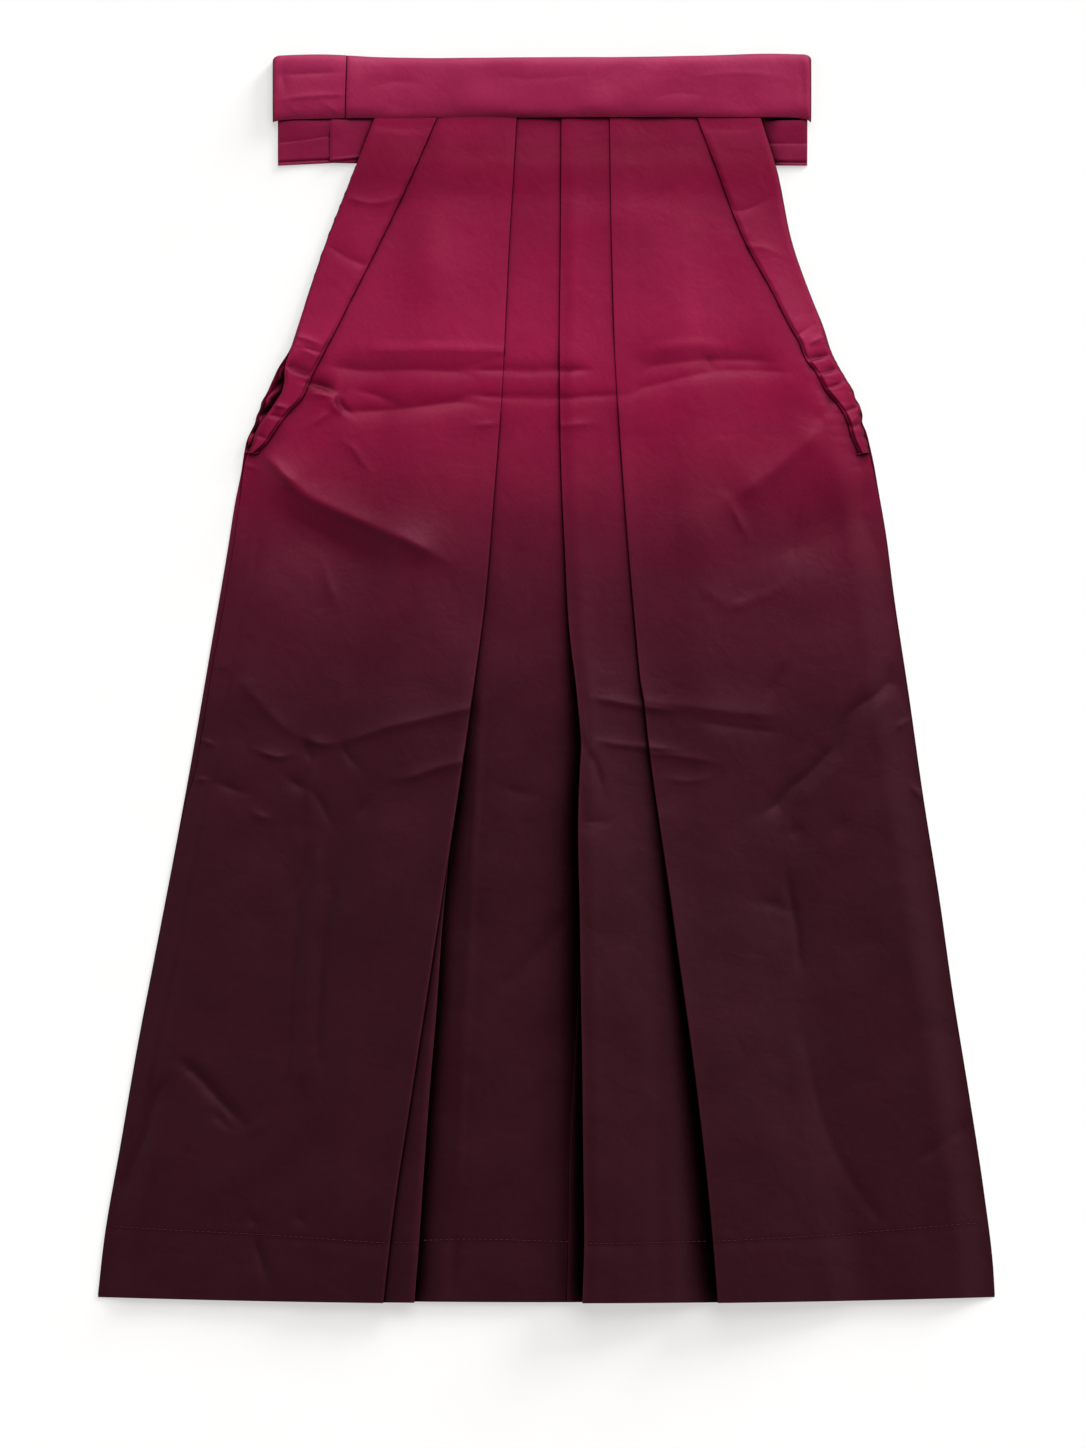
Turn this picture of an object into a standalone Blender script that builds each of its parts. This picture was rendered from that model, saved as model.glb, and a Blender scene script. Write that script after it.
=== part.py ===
"""Hakama trousers, laid flat on a surface with the front up.

The scene is in metres and every size below is in millimetres. X runs across the
garment, Y runs from the hem up to the belt, and Z is up from the surface. The
origin lies on the surface, under the middle of the outline. A level is a distance
down the garment from the seam between the front belt and the front panels.

Each panel is a wall of cloth that rests on the layers below it: a pleat is a panel
whose edge turns under and comes back as its return, one layer lower.
"""

from collections import namedtuple
import math

import bmesh
import bpy
import numpy as np

MM = 0.001
GARMENT = "hakama_trousers"

# Cloth: its wall, the gap kept at seams and between layers that lie on each other.
WALL = 1.0
GAP = 0.3
PITCH = WALL + GAP

# Main sizes of the garment.
BELT_WIDTH = 47.4
FRONT_LENGTH = 914.0
BACK_BELT_TOP = 3.6
BACK_BELT_FOOT = 36.5
OPENING_LENGTH = 259.0
CROTCH_LEVEL = 520.0
WAIST_Y = (BELT_WIDTH + FRONT_LENGTH) / 2 - BELT_WIDTH

# How the laid cloth settles: slack of a panel over the back, slack between pleat
# layers, and how far past the end of a lower layer an upper one comes down.
PANEL_SLACK = 2.4
LAYER_SLACK = 0.25
REST_MARGIN = 20.0
SETTLE = 38.0
HEM_RISE = 5.4

# The seam of the left leg's inner side lies under the centre pleat, and the right
# leg's inner wall laps past it onto the back.
INNER_SEAM = 45.0
SEAM_LAP = 12.0

# Laid outline and pleat edges, a row for each level.
Section = namedtuple("Section", "level left front_left a b d e f right")
SECTIONS = (
    Section(0, -134.0, -132.2, -22.7, -32.8, 11.2, 19.7, 48.2, 164.6),
    Section(101, -171.6, -171.2, -28.9, -40.5, 10.8, 18.9, 49.7, 190.1),
    Section(178, -200.1, -198.5, -31.9, -45.9, 10.0, 18.1, 52.4, 218.6),
    Section(259, -232.8, -230.0, -37.4, -52.0, 10.8, 18.9, 57.1, 249.4),
    Section(325, -244.6, -240.8, -42.8, -57.4, 13.5, 22.0, 62.1, 260.6),
    Section(448, -264.8, -261.5, -57.4, -66.7, 22.0, 28.1, 74.0, 279.5),
    Section(572, -287.2, -284.4, -74.8, -75.9, 24.3, 28.1, 90.2, 297.6),
    Section(680, -307.2, -306.6, -91.8, -83.7, 24.7, 24.3, 105.6, 313.4),
    Section(818, -332.3, -332.0, -114.1, -94.4, 28.1, 17.0, 122.6, 335.0),
    Section(914, -345.6, -345.4, -125.7, -101.4, 27.4, 15.8, 130.7, 345.6),
)

# How deep each pleat turns under, at the waist and at the hem.
Depth = namedtuple("Depth", "waist hem")
PLEAT_DEPTHS = {
    "a": Depth(40.0, 74.0),
    "b": Depth(34.0, 58.0),
    "d": Depth(40.0, 60.0),
    "f": Depth(40.0, 78.0),
}

# The side openings, from the waist to the top of the side seam: the inner line of
# the strip that lies on the front, the front's own edge, and the back's edge.
Opening = namedtuple("Opening", "level strip front back")
LEFT_OPENING = (
    Opening(0, -84.4, -132.2, -134.0),
    Opening(37, -100.4, -146.6, -147.4),
    Opening(101, -130.7, -171.2, -171.9),
    Opening(153, -157.7, -188.9, -190.1),
    Opening(185, -173.1, -200.5, -203.2),
    Opening(212, -185.4, -203.4, -215.5),
    Opening(226, -196.2, -215.2, -221.3),
    Opening(241, -209.3, -223.0, -226.7),
    Opening(259, -224.0, -230.0, -232.8),
)
RIGHT_OPENING = (
    Opening(0, 116.0, 164.6, 165.4),
    Opening(37, 130.2, 176.2, 176.9),
    Opening(101, 155.4, 190.1, 190.8),
    Opening(133, 173.1, 201.6, 202.1),
    Opening(156, 183.9, 210.5, 211.0),
    Opening(188, 199.3, 222.4, 223.4),
    Opening(209, 214.7, 233.2, 234.6),
    Opening(232, 230.1, 240.8, 242.1),
    Opening(259, 239.4, 249.4, 249.6),
)
BACK_STRIP_WIDTH = 26.0
BACK_STRIP_SCALLOP = 0.9
SCALLOP_LENGTH = 21.0

# How far a pleat's edge springs up from the layer below it, at the waist and at the
# hem, and how far from the edge it dies away.
Lift = namedtuple("Lift", "waist hem reach")
LIFTS = {
    "centre": Lift(0.0, 0.0, 40.0),
    "b_return": Lift(0.0, 0.5, 35.0),
    "b": Lift(0.1, 1.2, 35.0),
    "a_return": Lift(0.0, 1.0, 35.0),
    "a": Lift(0.3, 1.8, 40.0),
    "e_return": Lift(0.0, 0.4, 35.0),
    "e": Lift(0.1, 1.4, 35.0),
    "d_return": Lift(0.0, 2.4, 38.0),
    "d": Lift(0.4, 2.9, 40.0),
    "f_return": Lift(0.0, 2.9, 38.0),
    "f": Lift(0.4, 3.4, 48.0),
}

# The largest creases of the front: a ridge rises, a trough has a negative rise.
Crease = namedtuple("Crease", "layer x0 level0 x1 level1 spread rise")
CREASES = (
    Crease("a", -173, 190, -34, 195, 13, -2.4),
    Crease("a", -160, 212, -38, 216, 13, 2.2),
    Crease("a", -222, 262, -189, 306, 17, -2.4),
    Crease("a", -189, 306, -112, 340, 17, -2.4),
    Crease("a", -205, 256, -170, 290, 18, 3.0),
    Crease("a", -170, 290, -82, 330, 18, 2.6),
    Crease("a", -245, 428, -190, 476, 16, 2.4),
    Crease("a", -190, 476, -60, 455, 16, 3.0),
    Crease("a", -258, 512, -203, 494, 16, 2.2),
    Crease("a", -188, 590, -195, 756, 17, 3.2),
    Crease("a", -171, 590, -176, 740, 12, -2.0),
    Crease("a", -290, 730, -237, 778, 18, 2.8),
    Crease("a", -291, 742, -322, 822, 16, -2.2),
    Crease("d", 28, 450, 72, 456, 14, 1.4),
    Crease("centre", 10, 622, -34, 674, 17, 1.2),
    Crease("f", 56, 195, 120, 178, 13, -2.2),
    Crease("f", 56, 214, 196, 196, 13, 2.2),
    Crease("f", 238, 260, 184, 278, 17, -2.4),
    Crease("f", 184, 278, 130, 302, 17, -2.4),
    Crease("f", 214, 236, 138, 282, 16, 2.8),
    Crease("f", 116, 361, 149, 378, 15, 2.4),
    Crease("f", 149, 378, 188, 356, 15, 2.4),
    Crease("f", 78, 452, 214, 464, 16, -2.2),
    Crease("f", 268, 426, 232, 464, 16, 3.4),
    Crease("f", 232, 464, 168, 536, 16, 3.0),
    Crease("f", 184, 580, 196, 634, 16, 2.2),
    Crease("f", 200, 710, 220, 794, 17, 3.0),
    Crease("f", 220, 794, 258, 856, 17, 2.4),
    Crease("f", 284, 806, 328, 776, 15, -2.2),
)

# Belts and ties. The front belt wraps round its folded tie at both ends, and the
# back belt and its tie lie under the tops of the front panels.
BELT_WALL = 1.2
BELT_LEFT = -210.9
BELT_RIGHT = 203.9
BELT_SEAM = -154.6
BELT_UNDERSIDE_SEAM = -40.0
BELT_HEIGHT = 8.5
BELT_SWELL = 3.7
BELT_EDGE_DROP = 2.3
BELT_DROOP = 2.5
BELT_CORNER = 5.0
PLEATS_AT_BELT = (-20.0, 88.0)
SWELL_FADE = 75.0
TIE_WALL = 1.5
TIE_LAYERS = 3
TIE_INSET = 3.2
TIE_SIDE_INSET = 4.0
BACK_BELT_HEAD = 3.6
BACK_BELT_LEFT = -207.0
BACK_BELT_RIGHT = 201.0
BACK_TIE_LEFT = -166.9
BACK_TIE_RIGHT = 160.0

# How finely the walls are cut: rows down the side opening and down the leg, which
# outer panels have twice over, and segments round the turn of a fold.
OPENING_ROWS = 6
LEG_ROWS = 17
FINE = 2
PLAIN = 1
PANEL_ACROSS = 11
STRIP_ACROSS = 4
STRIP_SLACK = 0.2
TURN = 4

CRIMSON = "#8A1D40"
WINE = "#451A25"
PLUM = "#36151E"
DARK_PLUM = "#2A0F17"


def linear(hex_colour):
    """The linear RGBA of an sRGB hex colour."""
    channels = [int(hex_colour[i:i + 2], 16) / 255 for i in (1, 3, 5)]
    return [((c + 0.055) / 1.055) ** 2.4 if c > 0.04 else c / 12.92 for c in channels] + [1.0]


def smoothstep(t):
    t = np.clip(t, 0.0, 1.0)
    return t * t * (3 - 2 * t)


def blend(start, end, t):
    return start + (end - start) * t


def follow(table, column, level):
    """A column of a table at this level, as a smooth curve through its rows."""
    levels = np.array([row.level for row in table], float)
    values = np.array([getattr(row, column) for row in table], float)
    slopes = np.gradient(values, levels)
    i = np.clip(np.searchsorted(levels, level) - 1, 0, len(levels) - 2)
    span = levels[i + 1] - levels[i]
    t = np.clip((level - levels[i]) / span, 0.0, 1.0)
    ahead = t * t * (3 - 2 * t)
    return (
        values[i] * (1 - ahead)
        + values[i + 1] * ahead
        + slopes[i] * span * t * (1 - t) ** 2
        - slopes[i + 1] * span * t * t * (1 - t)
    )


def edge(column, level):
    return follow(SECTIONS, column, level)


def front_left(level):
    """The front's left edge: the opening's edge above the side seam, then the seam."""
    return np.where(level < OPENING_LENGTH, follow(LEFT_OPENING, "front", level), edge("front_left", level))


def front_right(level):
    return np.where(level < OPENING_LENGTH, follow(RIGHT_OPENING, "front", level), edge("right", level))


def back_left(level):
    return np.where(level < OPENING_LENGTH, follow(LEFT_OPENING, "back", level), edge("left", level))


def back_right(level):
    return np.where(level < OPENING_LENGTH, follow(RIGHT_OPENING, "back", level), edge("right", level))


def inner_seam(level):
    return edge("d", level) + INNER_SEAM


def pleat_end(column, level):
    """Where a pleat's return ends, hidden under the panel: left of A and B, right of D and F."""
    depth = PLEAT_DEPTHS[column]
    side = -1 if column in "ab" else 1
    return edge(column, level) + side * blend(depth.waist, depth.hem, level / FRONT_LENGTH)


def lap_end(level):
    """The end of the right leg's inner wall: at the seam above the crotch, past it below."""
    return inner_seam(level) + SEAM_LAP * smoothstep((level - CROTCH_LEVEL) / 30)


# Each layer's left and right limits at a level. The two stacks share the centre panel.
LIMITS = {
    "centre": (lambda v: pleat_end("b", v), inner_seam),
    "b_return": (lambda v: pleat_end("b", v), lambda v: edge("b", v)),
    "b": (lambda v: pleat_end("a", v), lambda v: edge("b", v)),
    "a_return": (lambda v: pleat_end("a", v), lambda v: edge("a", v)),
    "a": (front_left, lambda v: edge("a", v)),
    "e_return": (lambda v: edge("e", v), lap_end),
    "e": (lambda v: edge("e", v), lambda v: pleat_end("d", v)),
    "d_return": (lambda v: edge("d", v), lambda v: pleat_end("d", v)),
    "d": (lambda v: edge("d", v), lambda v: pleat_end("f", v)),
    "f_return": (lambda v: edge("f", v), lambda v: pleat_end("f", v)),
    "f": (lambda v: edge("f", v), front_right),
}
LEFT_STACK = ("centre", "b_return", "b", "a_return", "a")
RIGHT_STACK = ("centre", "e_return", "e", "d_return", "d", "f_return", "f")


def crease_rise(layer, x, level):
    """All creases of a layer: each is a soft ridge or trough along its line, fading at its ends."""
    total = np.zeros(np.broadcast(x, level).shape)
    for crease in CREASES:
        if crease.layer != layer:
            continue
        along = np.array([crease.x1 - crease.x0, crease.level1 - crease.level0], float)
        length = math.hypot(*along)
        along /= length
        run = (x - crease.x0) * along[0] + (level - crease.level0) * along[1]
        beside = (x - crease.x0) * along[1] - (level - crease.level0) * along[0]
        past = np.maximum(0, np.maximum(-run, run - length))
        total += crease.rise * np.exp(-(beside ** 2 + past ** 2) / crease.spread ** 2)
    return total


def spring(layer, x, level):
    """How far the layer springs off the one below it near its folded edge."""
    lift = LIFTS[layer]
    fold = LIMITS[layer][1 if layer[0] in "ab" else 0](level)
    amount = blend(lift.waist, lift.hem, smoothstep(level / FRONT_LENGTH))
    wave = 1 + 0.16 * np.sin(level / 83 + len(layer))
    return amount * wave * np.exp(-((x - fold) / lift.reach) ** 2)


def panel_slack(layer, x, level):
    """The slack of an outer panel over the back: none at the side, some at the belt."""
    side = front_left(level) if layer == "a" else front_right(level)
    inward = smoothstep(np.abs(x - side) / 34)
    waist = 1.3 * (1 - smoothstep(level / 60))
    return PANEL_SLACK * inward * smoothstep(level / 70) + waist


def give(layer, x, level):
    """How far a layer stands off the one below it, beyond the plain gap; never less than none."""
    total = LAYER_SLACK * smoothstep(level / 110) + spring(layer, x, level) + crease_rise(layer, x, level)
    if layer in "af":
        total = total + panel_slack(layer, x, level)
    return np.maximum(0.0, total)


def cover(layer, x, level):
    """One over the layer's own width and a margin, dying away beyond it as the cloth settles."""
    left, right = LIMITS[layer]
    outside = np.maximum(left(level) - x, x - right(level))
    return 1 - smoothstep((outside - REST_MARGIN) / SETTLE)


def back_strip_cover(x, level):
    beside = np.maximum(x - back_left(level) - BACK_STRIP_WIDTH, 0)
    beside = np.minimum(beside, np.maximum(back_right(level) - BACK_STRIP_WIDTH - x, 0))
    along = smoothstep((level - OPENING_LENGTH - REST_MARGIN) / SETTLE)
    return (1 - smoothstep((beside - REST_MARGIN) / SETTLE)) * (1 - along)


def on_back(x, level):
    """The middle of a wall that rests on the back panel, its side strips or the back belt."""
    over_belt = 1 - smoothstep((level - BACK_BELT_FOOT - REST_MARGIN) / SETTLE)
    rest = blend(WALL + PITCH * back_strip_cover(x, level), BACK_BELT_TOP, over_belt)
    return rest + GAP + WALL / 2


def height(stack, layer, x, level):
    """The middle of a layer's wall, resting on every layer of its stack below it."""
    z = on_back(x, level)
    for below in stack[:stack.index(layer)]:
        z = z + cover(below, x, level) * (PITCH + give(below, x, level))
    return z + give(layer, x, level)


def place_y(x, level, short):
    """Y of a point: the hem rises a little towards the sides, and some layers end short of it."""
    length = FRONT_LENGTH - short - HEM_RISE * (x / SECTIONS[-1].right) ** 2
    return WAIST_Y - level * length / FRONT_LENGTH


def material(name, hex_colour, roughness):
    made = bpy.data.materials.new(name)
    made.use_nodes = True
    shader = made.node_tree.nodes["Principled BSDF"]
    shader.inputs["Base Color"].default_value = linear(hex_colour)
    shader.inputs["Roughness"].default_value = roughness
    shader.inputs["Metallic"].default_value = 0.0
    shader.inputs["Sheen Weight"].default_value = 0.2
    return made


def cloth_wall(name, grid, hex_colour, wall=WALL, roughness=0.55):
    """A wall of cloth round a grid of points in millimetres, half its thickness to each side."""
    rows = grid.shape[0] - 1
    columns = grid.shape[1] - 1
    bm = bmesh.new()
    bmesh.ops.create_grid(bm, x_segments=columns, y_segments=rows, size=0.5)
    for vert in bm.verts:
        row = round((vert.co.y + 0.5) * rows)
        column = round((vert.co.x + 0.5) * columns)
        vert.co = grid[row, column] * MM
    mesh = bpy.data.meshes.new(name)
    bm.to_mesh(mesh)
    bm.free()
    mesh.shade_smooth()
    mesh.materials.append(material(name + "_cloth", hex_colour, roughness))
    made = bpy.data.objects.new(name, mesh)
    bpy.data.collections[GARMENT].objects.link(made)
    thickness = made.modifiers.new("cloth thickness", "SOLIDIFY")
    thickness.thickness = wall * MM
    thickness.offset = 0.0
    thickness.use_even_offset = True
    thickness.use_quality_normals = True
    return made


def opening_levels(top, fineness):
    """Levels of the rows beside the side openings, from a panel's top edge down."""
    return np.linspace(top, OPENING_LENGTH, OPENING_ROWS * fineness + 1)


def levels_of(top, fineness):
    """Levels of a panel's rows, from its top edge to the hem."""
    leg = np.linspace(OPENING_LENGTH, FRONT_LENGTH, LEG_ROWS * fineness + 1)
    return np.concatenate([opening_levels(top, fineness), leg[1:]])


def turn_of(centre, side, top, bottom):
    """The half circle of a folded edge between two runs of cloth: x and z, ends left out."""
    angles = np.linspace(math.pi / 2, -math.pi / 2, TURN + 1)[1:-1]
    radius = (top - bottom) / 2
    return centre + side * radius * np.cos(angles), bottom + radius + radius * np.sin(angles)


def fold_side(layer):
    """Which way a pleat's folded edge faces: A and B to the right, D, E and F to the left."""
    return 1 if layer in "ab" else -1


def turn_centre(stack, layer, level):
    """Where the turn of a folded edge starts. Its radius is half the rise from the return to
    the panel there, and it lies that far inside the fold."""
    fold = edge(layer, level)
    centre = fold - fold_side(layer) * (WALL / 2 + PITCH)
    for _ in range(3):
        rise = height(stack, layer, centre, level) - height(stack, layer + "_return", centre, level)
        centre = fold - fold_side(layer) * (WALL + rise) / 2
    return centre


def panel_run(stack, layer, outer, level, across):
    """One row of a panel's upper run, from its outer edge to the start of its fold."""
    x = np.linspace(outer, turn_centre(stack, layer, level), across + 1)
    return x, height(stack, layer, x, level)


def folded_row(stack, layer, outer, inner, level, across):
    """One row of a pleated panel: its run from `outer` to the fold, the turn, and its return
    by way of the places in `inner`."""
    run_x, run_z = panel_run(stack, layer, outer, level, across)
    return_x = np.concatenate([run_x[-1:], inner])
    return_z = height(stack, layer + "_return", return_x, level)
    turn_x, turn_z = turn_of(run_x[-1], fold_side(layer), run_z[-1], return_z[0])
    return np.concatenate([run_x, turn_x, return_x]), np.concatenate([run_z, turn_z, return_z])


def grid_of(rows, short):
    """Stacks rows of (x, z, level) into a grid of points."""
    return np.array([np.stack([x, place_y(x, level, short), z], axis=1) for x, z, level in rows])


def pleated_panel(name, stack, layer, outer, inner, fineness, across, across_return, short, hex_colour):
    """A panel whose edge folds under into a return that ends hidden."""
    made = []
    for level in levels_of(GAP, fineness):
        inside = blend(edge(layer, level), inner(level), np.linspace(0, 1, across_return + 1)[1:])
        x, z = folded_row(stack, layer, outer(level), inside, level, across)
        made.append((x, z, level))
    return cloth_wall(name, grid_of(made, short), hex_colour)


def centre_inner_pleat():
    """The fold under the centre pleat. Its return closes the right leg's inner side: below the
    crotch it passes the left leg's seam and comes down onto the back."""
    made = []
    for level in levels_of(GAP, PLAIN):
        seam = inner_seam(level)
        past = smoothstep((level - CROTCH_LEVEL) / 30)
        ends = seam + blend(np.array([-6.0, -4.0, -2.0, 0.0]), np.array([1.5, 4.5, 7.5, SEAM_LAP]), past)
        inner = np.concatenate([[blend(edge("e", level), seam, 0.5)], ends])
        x, z = folded_row(RIGHT_STACK, "e", pleat_end("d", level), inner, level, 3)
        down = smoothstep((x - seam - 1.5) / 6)
        down[:len(x) - len(inner)] = 0
        z = blend(z, on_back(x, level), down)
        made.append((x, z, level))
    return cloth_wall("front_centre_inner_pleat", grid_of(made, 2.0), PLUM)


def centre_panel():
    made = []
    for level in levels_of(GAP, PLAIN):
        x = np.linspace(pleat_end("b", level), inner_seam(level), 9)
        made.append((x, height(LEFT_STACK, "centre", x, level), level))
    return cloth_wall("front_centre_panel", grid_of(made, 2.0), WINE)


def front_side_strip(name, table, stack, layer):
    """The folded strip along a side opening: it lies on the front panel, from the opening's
    edge to its own inner line, and narrows to the top of the side seam."""
    made = []
    for level in opening_levels(GAP, FINE):
        outer = follow(table, "front", level)
        panel_x, panel_z = panel_run(stack, layer, outer, level, PANEL_ACROSS)
        x = np.linspace(outer, follow(table, "strip", level), STRIP_ACROSS + 1)
        order = np.argsort(panel_x)
        z = np.interp(x, panel_x[order], panel_z[order]) + PITCH + STRIP_SLACK
        made.append((x, z, level))
    return cloth_wall(name, grid_of(made, 0.0), CRIMSON)


def back_side_strip(name, outer, side):
    """The back's folded strip along a side opening, crinkled where it shows past the front."""
    made = []
    for level in np.linspace(BACK_BELT_FOOT + 2 * GAP, OPENING_LENGTH, 19):
        crinkle = BACK_STRIP_SCALLOP * math.sin(2 * math.pi * level / SCALLOP_LENGTH)
        start = outer(level) + side * (crinkle + BACK_STRIP_SCALLOP)
        x = np.linspace(start, outer(level) + side * BACK_STRIP_WIDTH, 3)
        z = np.full(3, WALL + GAP + WALL / 2)
        made.append((x, z, level))
    return cloth_wall(name, grid_of(made, 1.5), CRIMSON)


def back_panel(name, left, right):
    """A plain back panel, flat on the surface, from the back belt's lower edge to the hem."""
    made = []
    for level in levels_of(BACK_BELT_FOOT + GAP, PLAIN):
        x = np.linspace(left(level), right(level), 3)
        made.append((x, np.full(3, WALL / 2), level))
    return cloth_wall(name, grid_of(made, 1.5), DARK_PLUM)


def swell(x):
    """One over the pleats that the belt holds, dying away on each side of them."""
    beside = np.maximum(PLEATS_AT_BELT[0] - x, x - PLEATS_AT_BELT[1])
    return 1 - smoothstep(beside / SWELL_FADE)


def belt_face(x, across):
    """The middle of the front belt's face: swollen by the pleats, and lower at its long edges."""
    drop = BELT_EDGE_DROP * blend(1.0, 0.15, swell(x))
    return BELT_HEIGHT + BELT_SWELL * swell(x) - drop * np.abs(2 * across - 1) ** 4


def belt_y(x, across):
    """The front belt's lower edge droops a little towards its ends, and its upper corners
    are rounded."""
    foot = WAIST_Y - BELT_DROOP * np.abs(x / BELT_LEFT) ** 14
    in_corner = np.clip(BELT_CORNER - np.minimum(x - BELT_LEFT, BELT_RIGHT - x), 0, BELT_CORNER)
    head = WAIST_Y + BELT_WIDTH - BELT_CORNER + np.sqrt(BELT_CORNER ** 2 - in_corner ** 2)
    return blend(foot, head, across)


def wrapped_run(start, end, stop, face, across, wall, steps, turn):
    """A band's section at one place across it: along its face from `start` to the turn at
    `end`, round the turn, and back along the surface to `stop`."""
    side = 1 if end > start else -1
    floor = wall / 2
    radius = (face(end - side * 4.0, across) - floor) / 2
    centre = end - side * (wall / 2 + radius)
    run_x = np.linspace(start, centre, steps + 1)
    run_z = face(run_x, across)
    turn_at = np.linspace(math.pi / 2, -math.pi / 2, turn + 1)[1:-1]
    bend = (run_z[-1] - floor) / 2
    turn_x = centre + side * bend * np.cos(turn_at)
    turn_z = floor + bend + bend * np.sin(turn_at)
    back_x = np.linspace(centre, stop, 3)
    return (
        np.concatenate([run_x, turn_x, back_x]),
        np.concatenate([run_z, turn_z, np.full(3, floor)]),
    )


def front_belt_piece(name, start, end, stop, steps):
    """A part of the front belt with the end that it wraps round."""
    rows = []
    for across in np.linspace(0, 1, 7):
        x, z = wrapped_run(start, end, stop, belt_face, across, BELT_WALL, steps, 8)
        rows.append(np.stack([x, belt_y(x, across), z], axis=1))
    return cloth_wall(name, np.array(rows), CRIMSON, BELT_WALL, 0.5)


def front_tie_folds():
    """The long tie, folded to and fro inside the front belt: its layers share one solid."""
    base = BELT_WALL + GAP + TIE_WALL / 2
    top = BELT_HEIGHT - BELT_WALL / 2 - GAP - TIE_WALL / 2 - 1.2
    spacing = (top - base) / (TIE_LAYERS - 1)
    ends = (BELT_LEFT + TIE_INSET * 2, BELT_RIGHT - TIE_INSET * 2)
    path_x = []
    path_z = []
    for layer in range(TIE_LAYERS):
        lower = base + layer * spacing
        side = 1 if layer % 2 == 0 else -1
        start, end = ends if side == 1 else ends[::-1]
        inset = TIE_WALL / 2 + spacing / 2
        run = np.linspace(start + side * inset, end - side * inset, 11)
        path_x.append(run)
        path_z.append(lower + swell(run) * BELT_SWELL * (layer + 1) / (TIE_LAYERS + 0.4))
        if layer < TIE_LAYERS - 1:
            turn_x, turn_z = turn_of(run[-1], side, path_z[-1][-1] + spacing, path_z[-1][-1])
            path_x.append(turn_x[::-1])
            path_z.append(turn_z[::-1])
    x = np.concatenate(path_x)
    z = np.concatenate(path_z)
    feet = WAIST_Y + TIE_SIDE_INSET
    heads = WAIST_Y + BELT_WIDTH - TIE_SIDE_INSET
    grid = [np.stack([x, np.full(x.shape, y), z], axis=1) for y in (feet, heads)]
    return cloth_wall("front_tie_folds", np.array(grid), CRIMSON, TIE_WALL)


def back_belt():
    """The back belt, folded round its two ends: its underside rests on the surface."""
    face_height = WALL / 2 + PITCH
    seam = BELT_UNDERSIDE_SEAM
    halves = []
    for across in (0.0, 1.0):
        runs = [
            wrapped_run(seam, end, seam + side * GAP, lambda x, t: face_height + 0 * x, across, WALL, 3, TURN)
            for end, side in ((BACK_BELT_LEFT, -1), (BACK_BELT_RIGHT, 1))
        ]
        x = np.concatenate([runs[0][0][::-1], runs[1][0][1:]])
        z = np.concatenate([runs[0][1][::-1], runs[1][1][1:]])
        level = blend(BACK_BELT_FOOT, BACK_BELT_HEAD, across)
        halves.append(np.stack([x, np.full(x.shape, WAIST_Y - level), z], axis=1))
    return cloth_wall("back_belt", np.array(halves), CRIMSON)


def back_tie():
    """The back tie, folded over the back belt and hidden under the front but for its left end."""
    height_here = 2 * PITCH + WALL / 2
    x = np.linspace(BACK_TIE_LEFT, BACK_TIE_RIGHT, 4)
    levels = (BACK_BELT_FOOT - 0.6, BACK_BELT_HEAD + 0.6)
    grid = [np.stack([x, np.full(4, WAIST_Y - v), np.full(4, height_here)], axis=1) for v in levels]
    return cloth_wall("back_tie_fold", np.array(grid), CRIMSON)


def build():
    for old in list(bpy.data.objects):
        bpy.data.objects.remove(old, do_unlink=True)
    collection = bpy.data.collections.new(GARMENT)
    bpy.context.scene.collection.children.link(collection)

    back_panel("back_left_panel", back_left, lambda v: inner_seam(v) - GAP)
    back_panel("back_right_panel", inner_seam, back_right)
    back_side_strip("back_left_side_strip", back_left, 1)
    back_side_strip("back_right_side_strip", back_right, -1)
    back_belt()
    back_tie()

    centre_panel()
    pleated_panel(
        "front_left_inner_pleat", LEFT_STACK, "b", lambda v: pleat_end("a", v),
        lambda v: pleat_end("b", v), PLAIN, 4, 3, 0.5, PLUM,
    )
    pleated_panel(
        "front_left_panel", LEFT_STACK, "a", front_left,
        lambda v: pleat_end("a", v), FINE, PANEL_ACROSS, 3, 0.0, WINE,
    )
    centre_inner_pleat()
    pleated_panel(
        "front_centre_pleat", RIGHT_STACK, "d", lambda v: pleat_end("f", v),
        lambda v: pleat_end("d", v), PLAIN, 7, 3, 0.5, WINE,
    )
    pleated_panel(
        "front_right_panel", RIGHT_STACK, "f", front_right,
        lambda v: pleat_end("f", v), FINE, PANEL_ACROSS, 3, 0.0, WINE,
    )
    front_side_strip("front_left_side_strip", LEFT_OPENING, LEFT_STACK, "a")
    front_side_strip("front_right_side_strip", RIGHT_OPENING, RIGHT_STACK, "f")

    front_belt_piece("front_belt", BELT_SEAM, BELT_RIGHT, BELT_UNDERSIDE_SEAM, 14)
    front_belt_piece("front_belt_tie", BELT_SEAM - GAP, BELT_LEFT, BELT_UNDERSIDE_SEAM - GAP, 3)
    front_tie_folds()


build()
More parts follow.
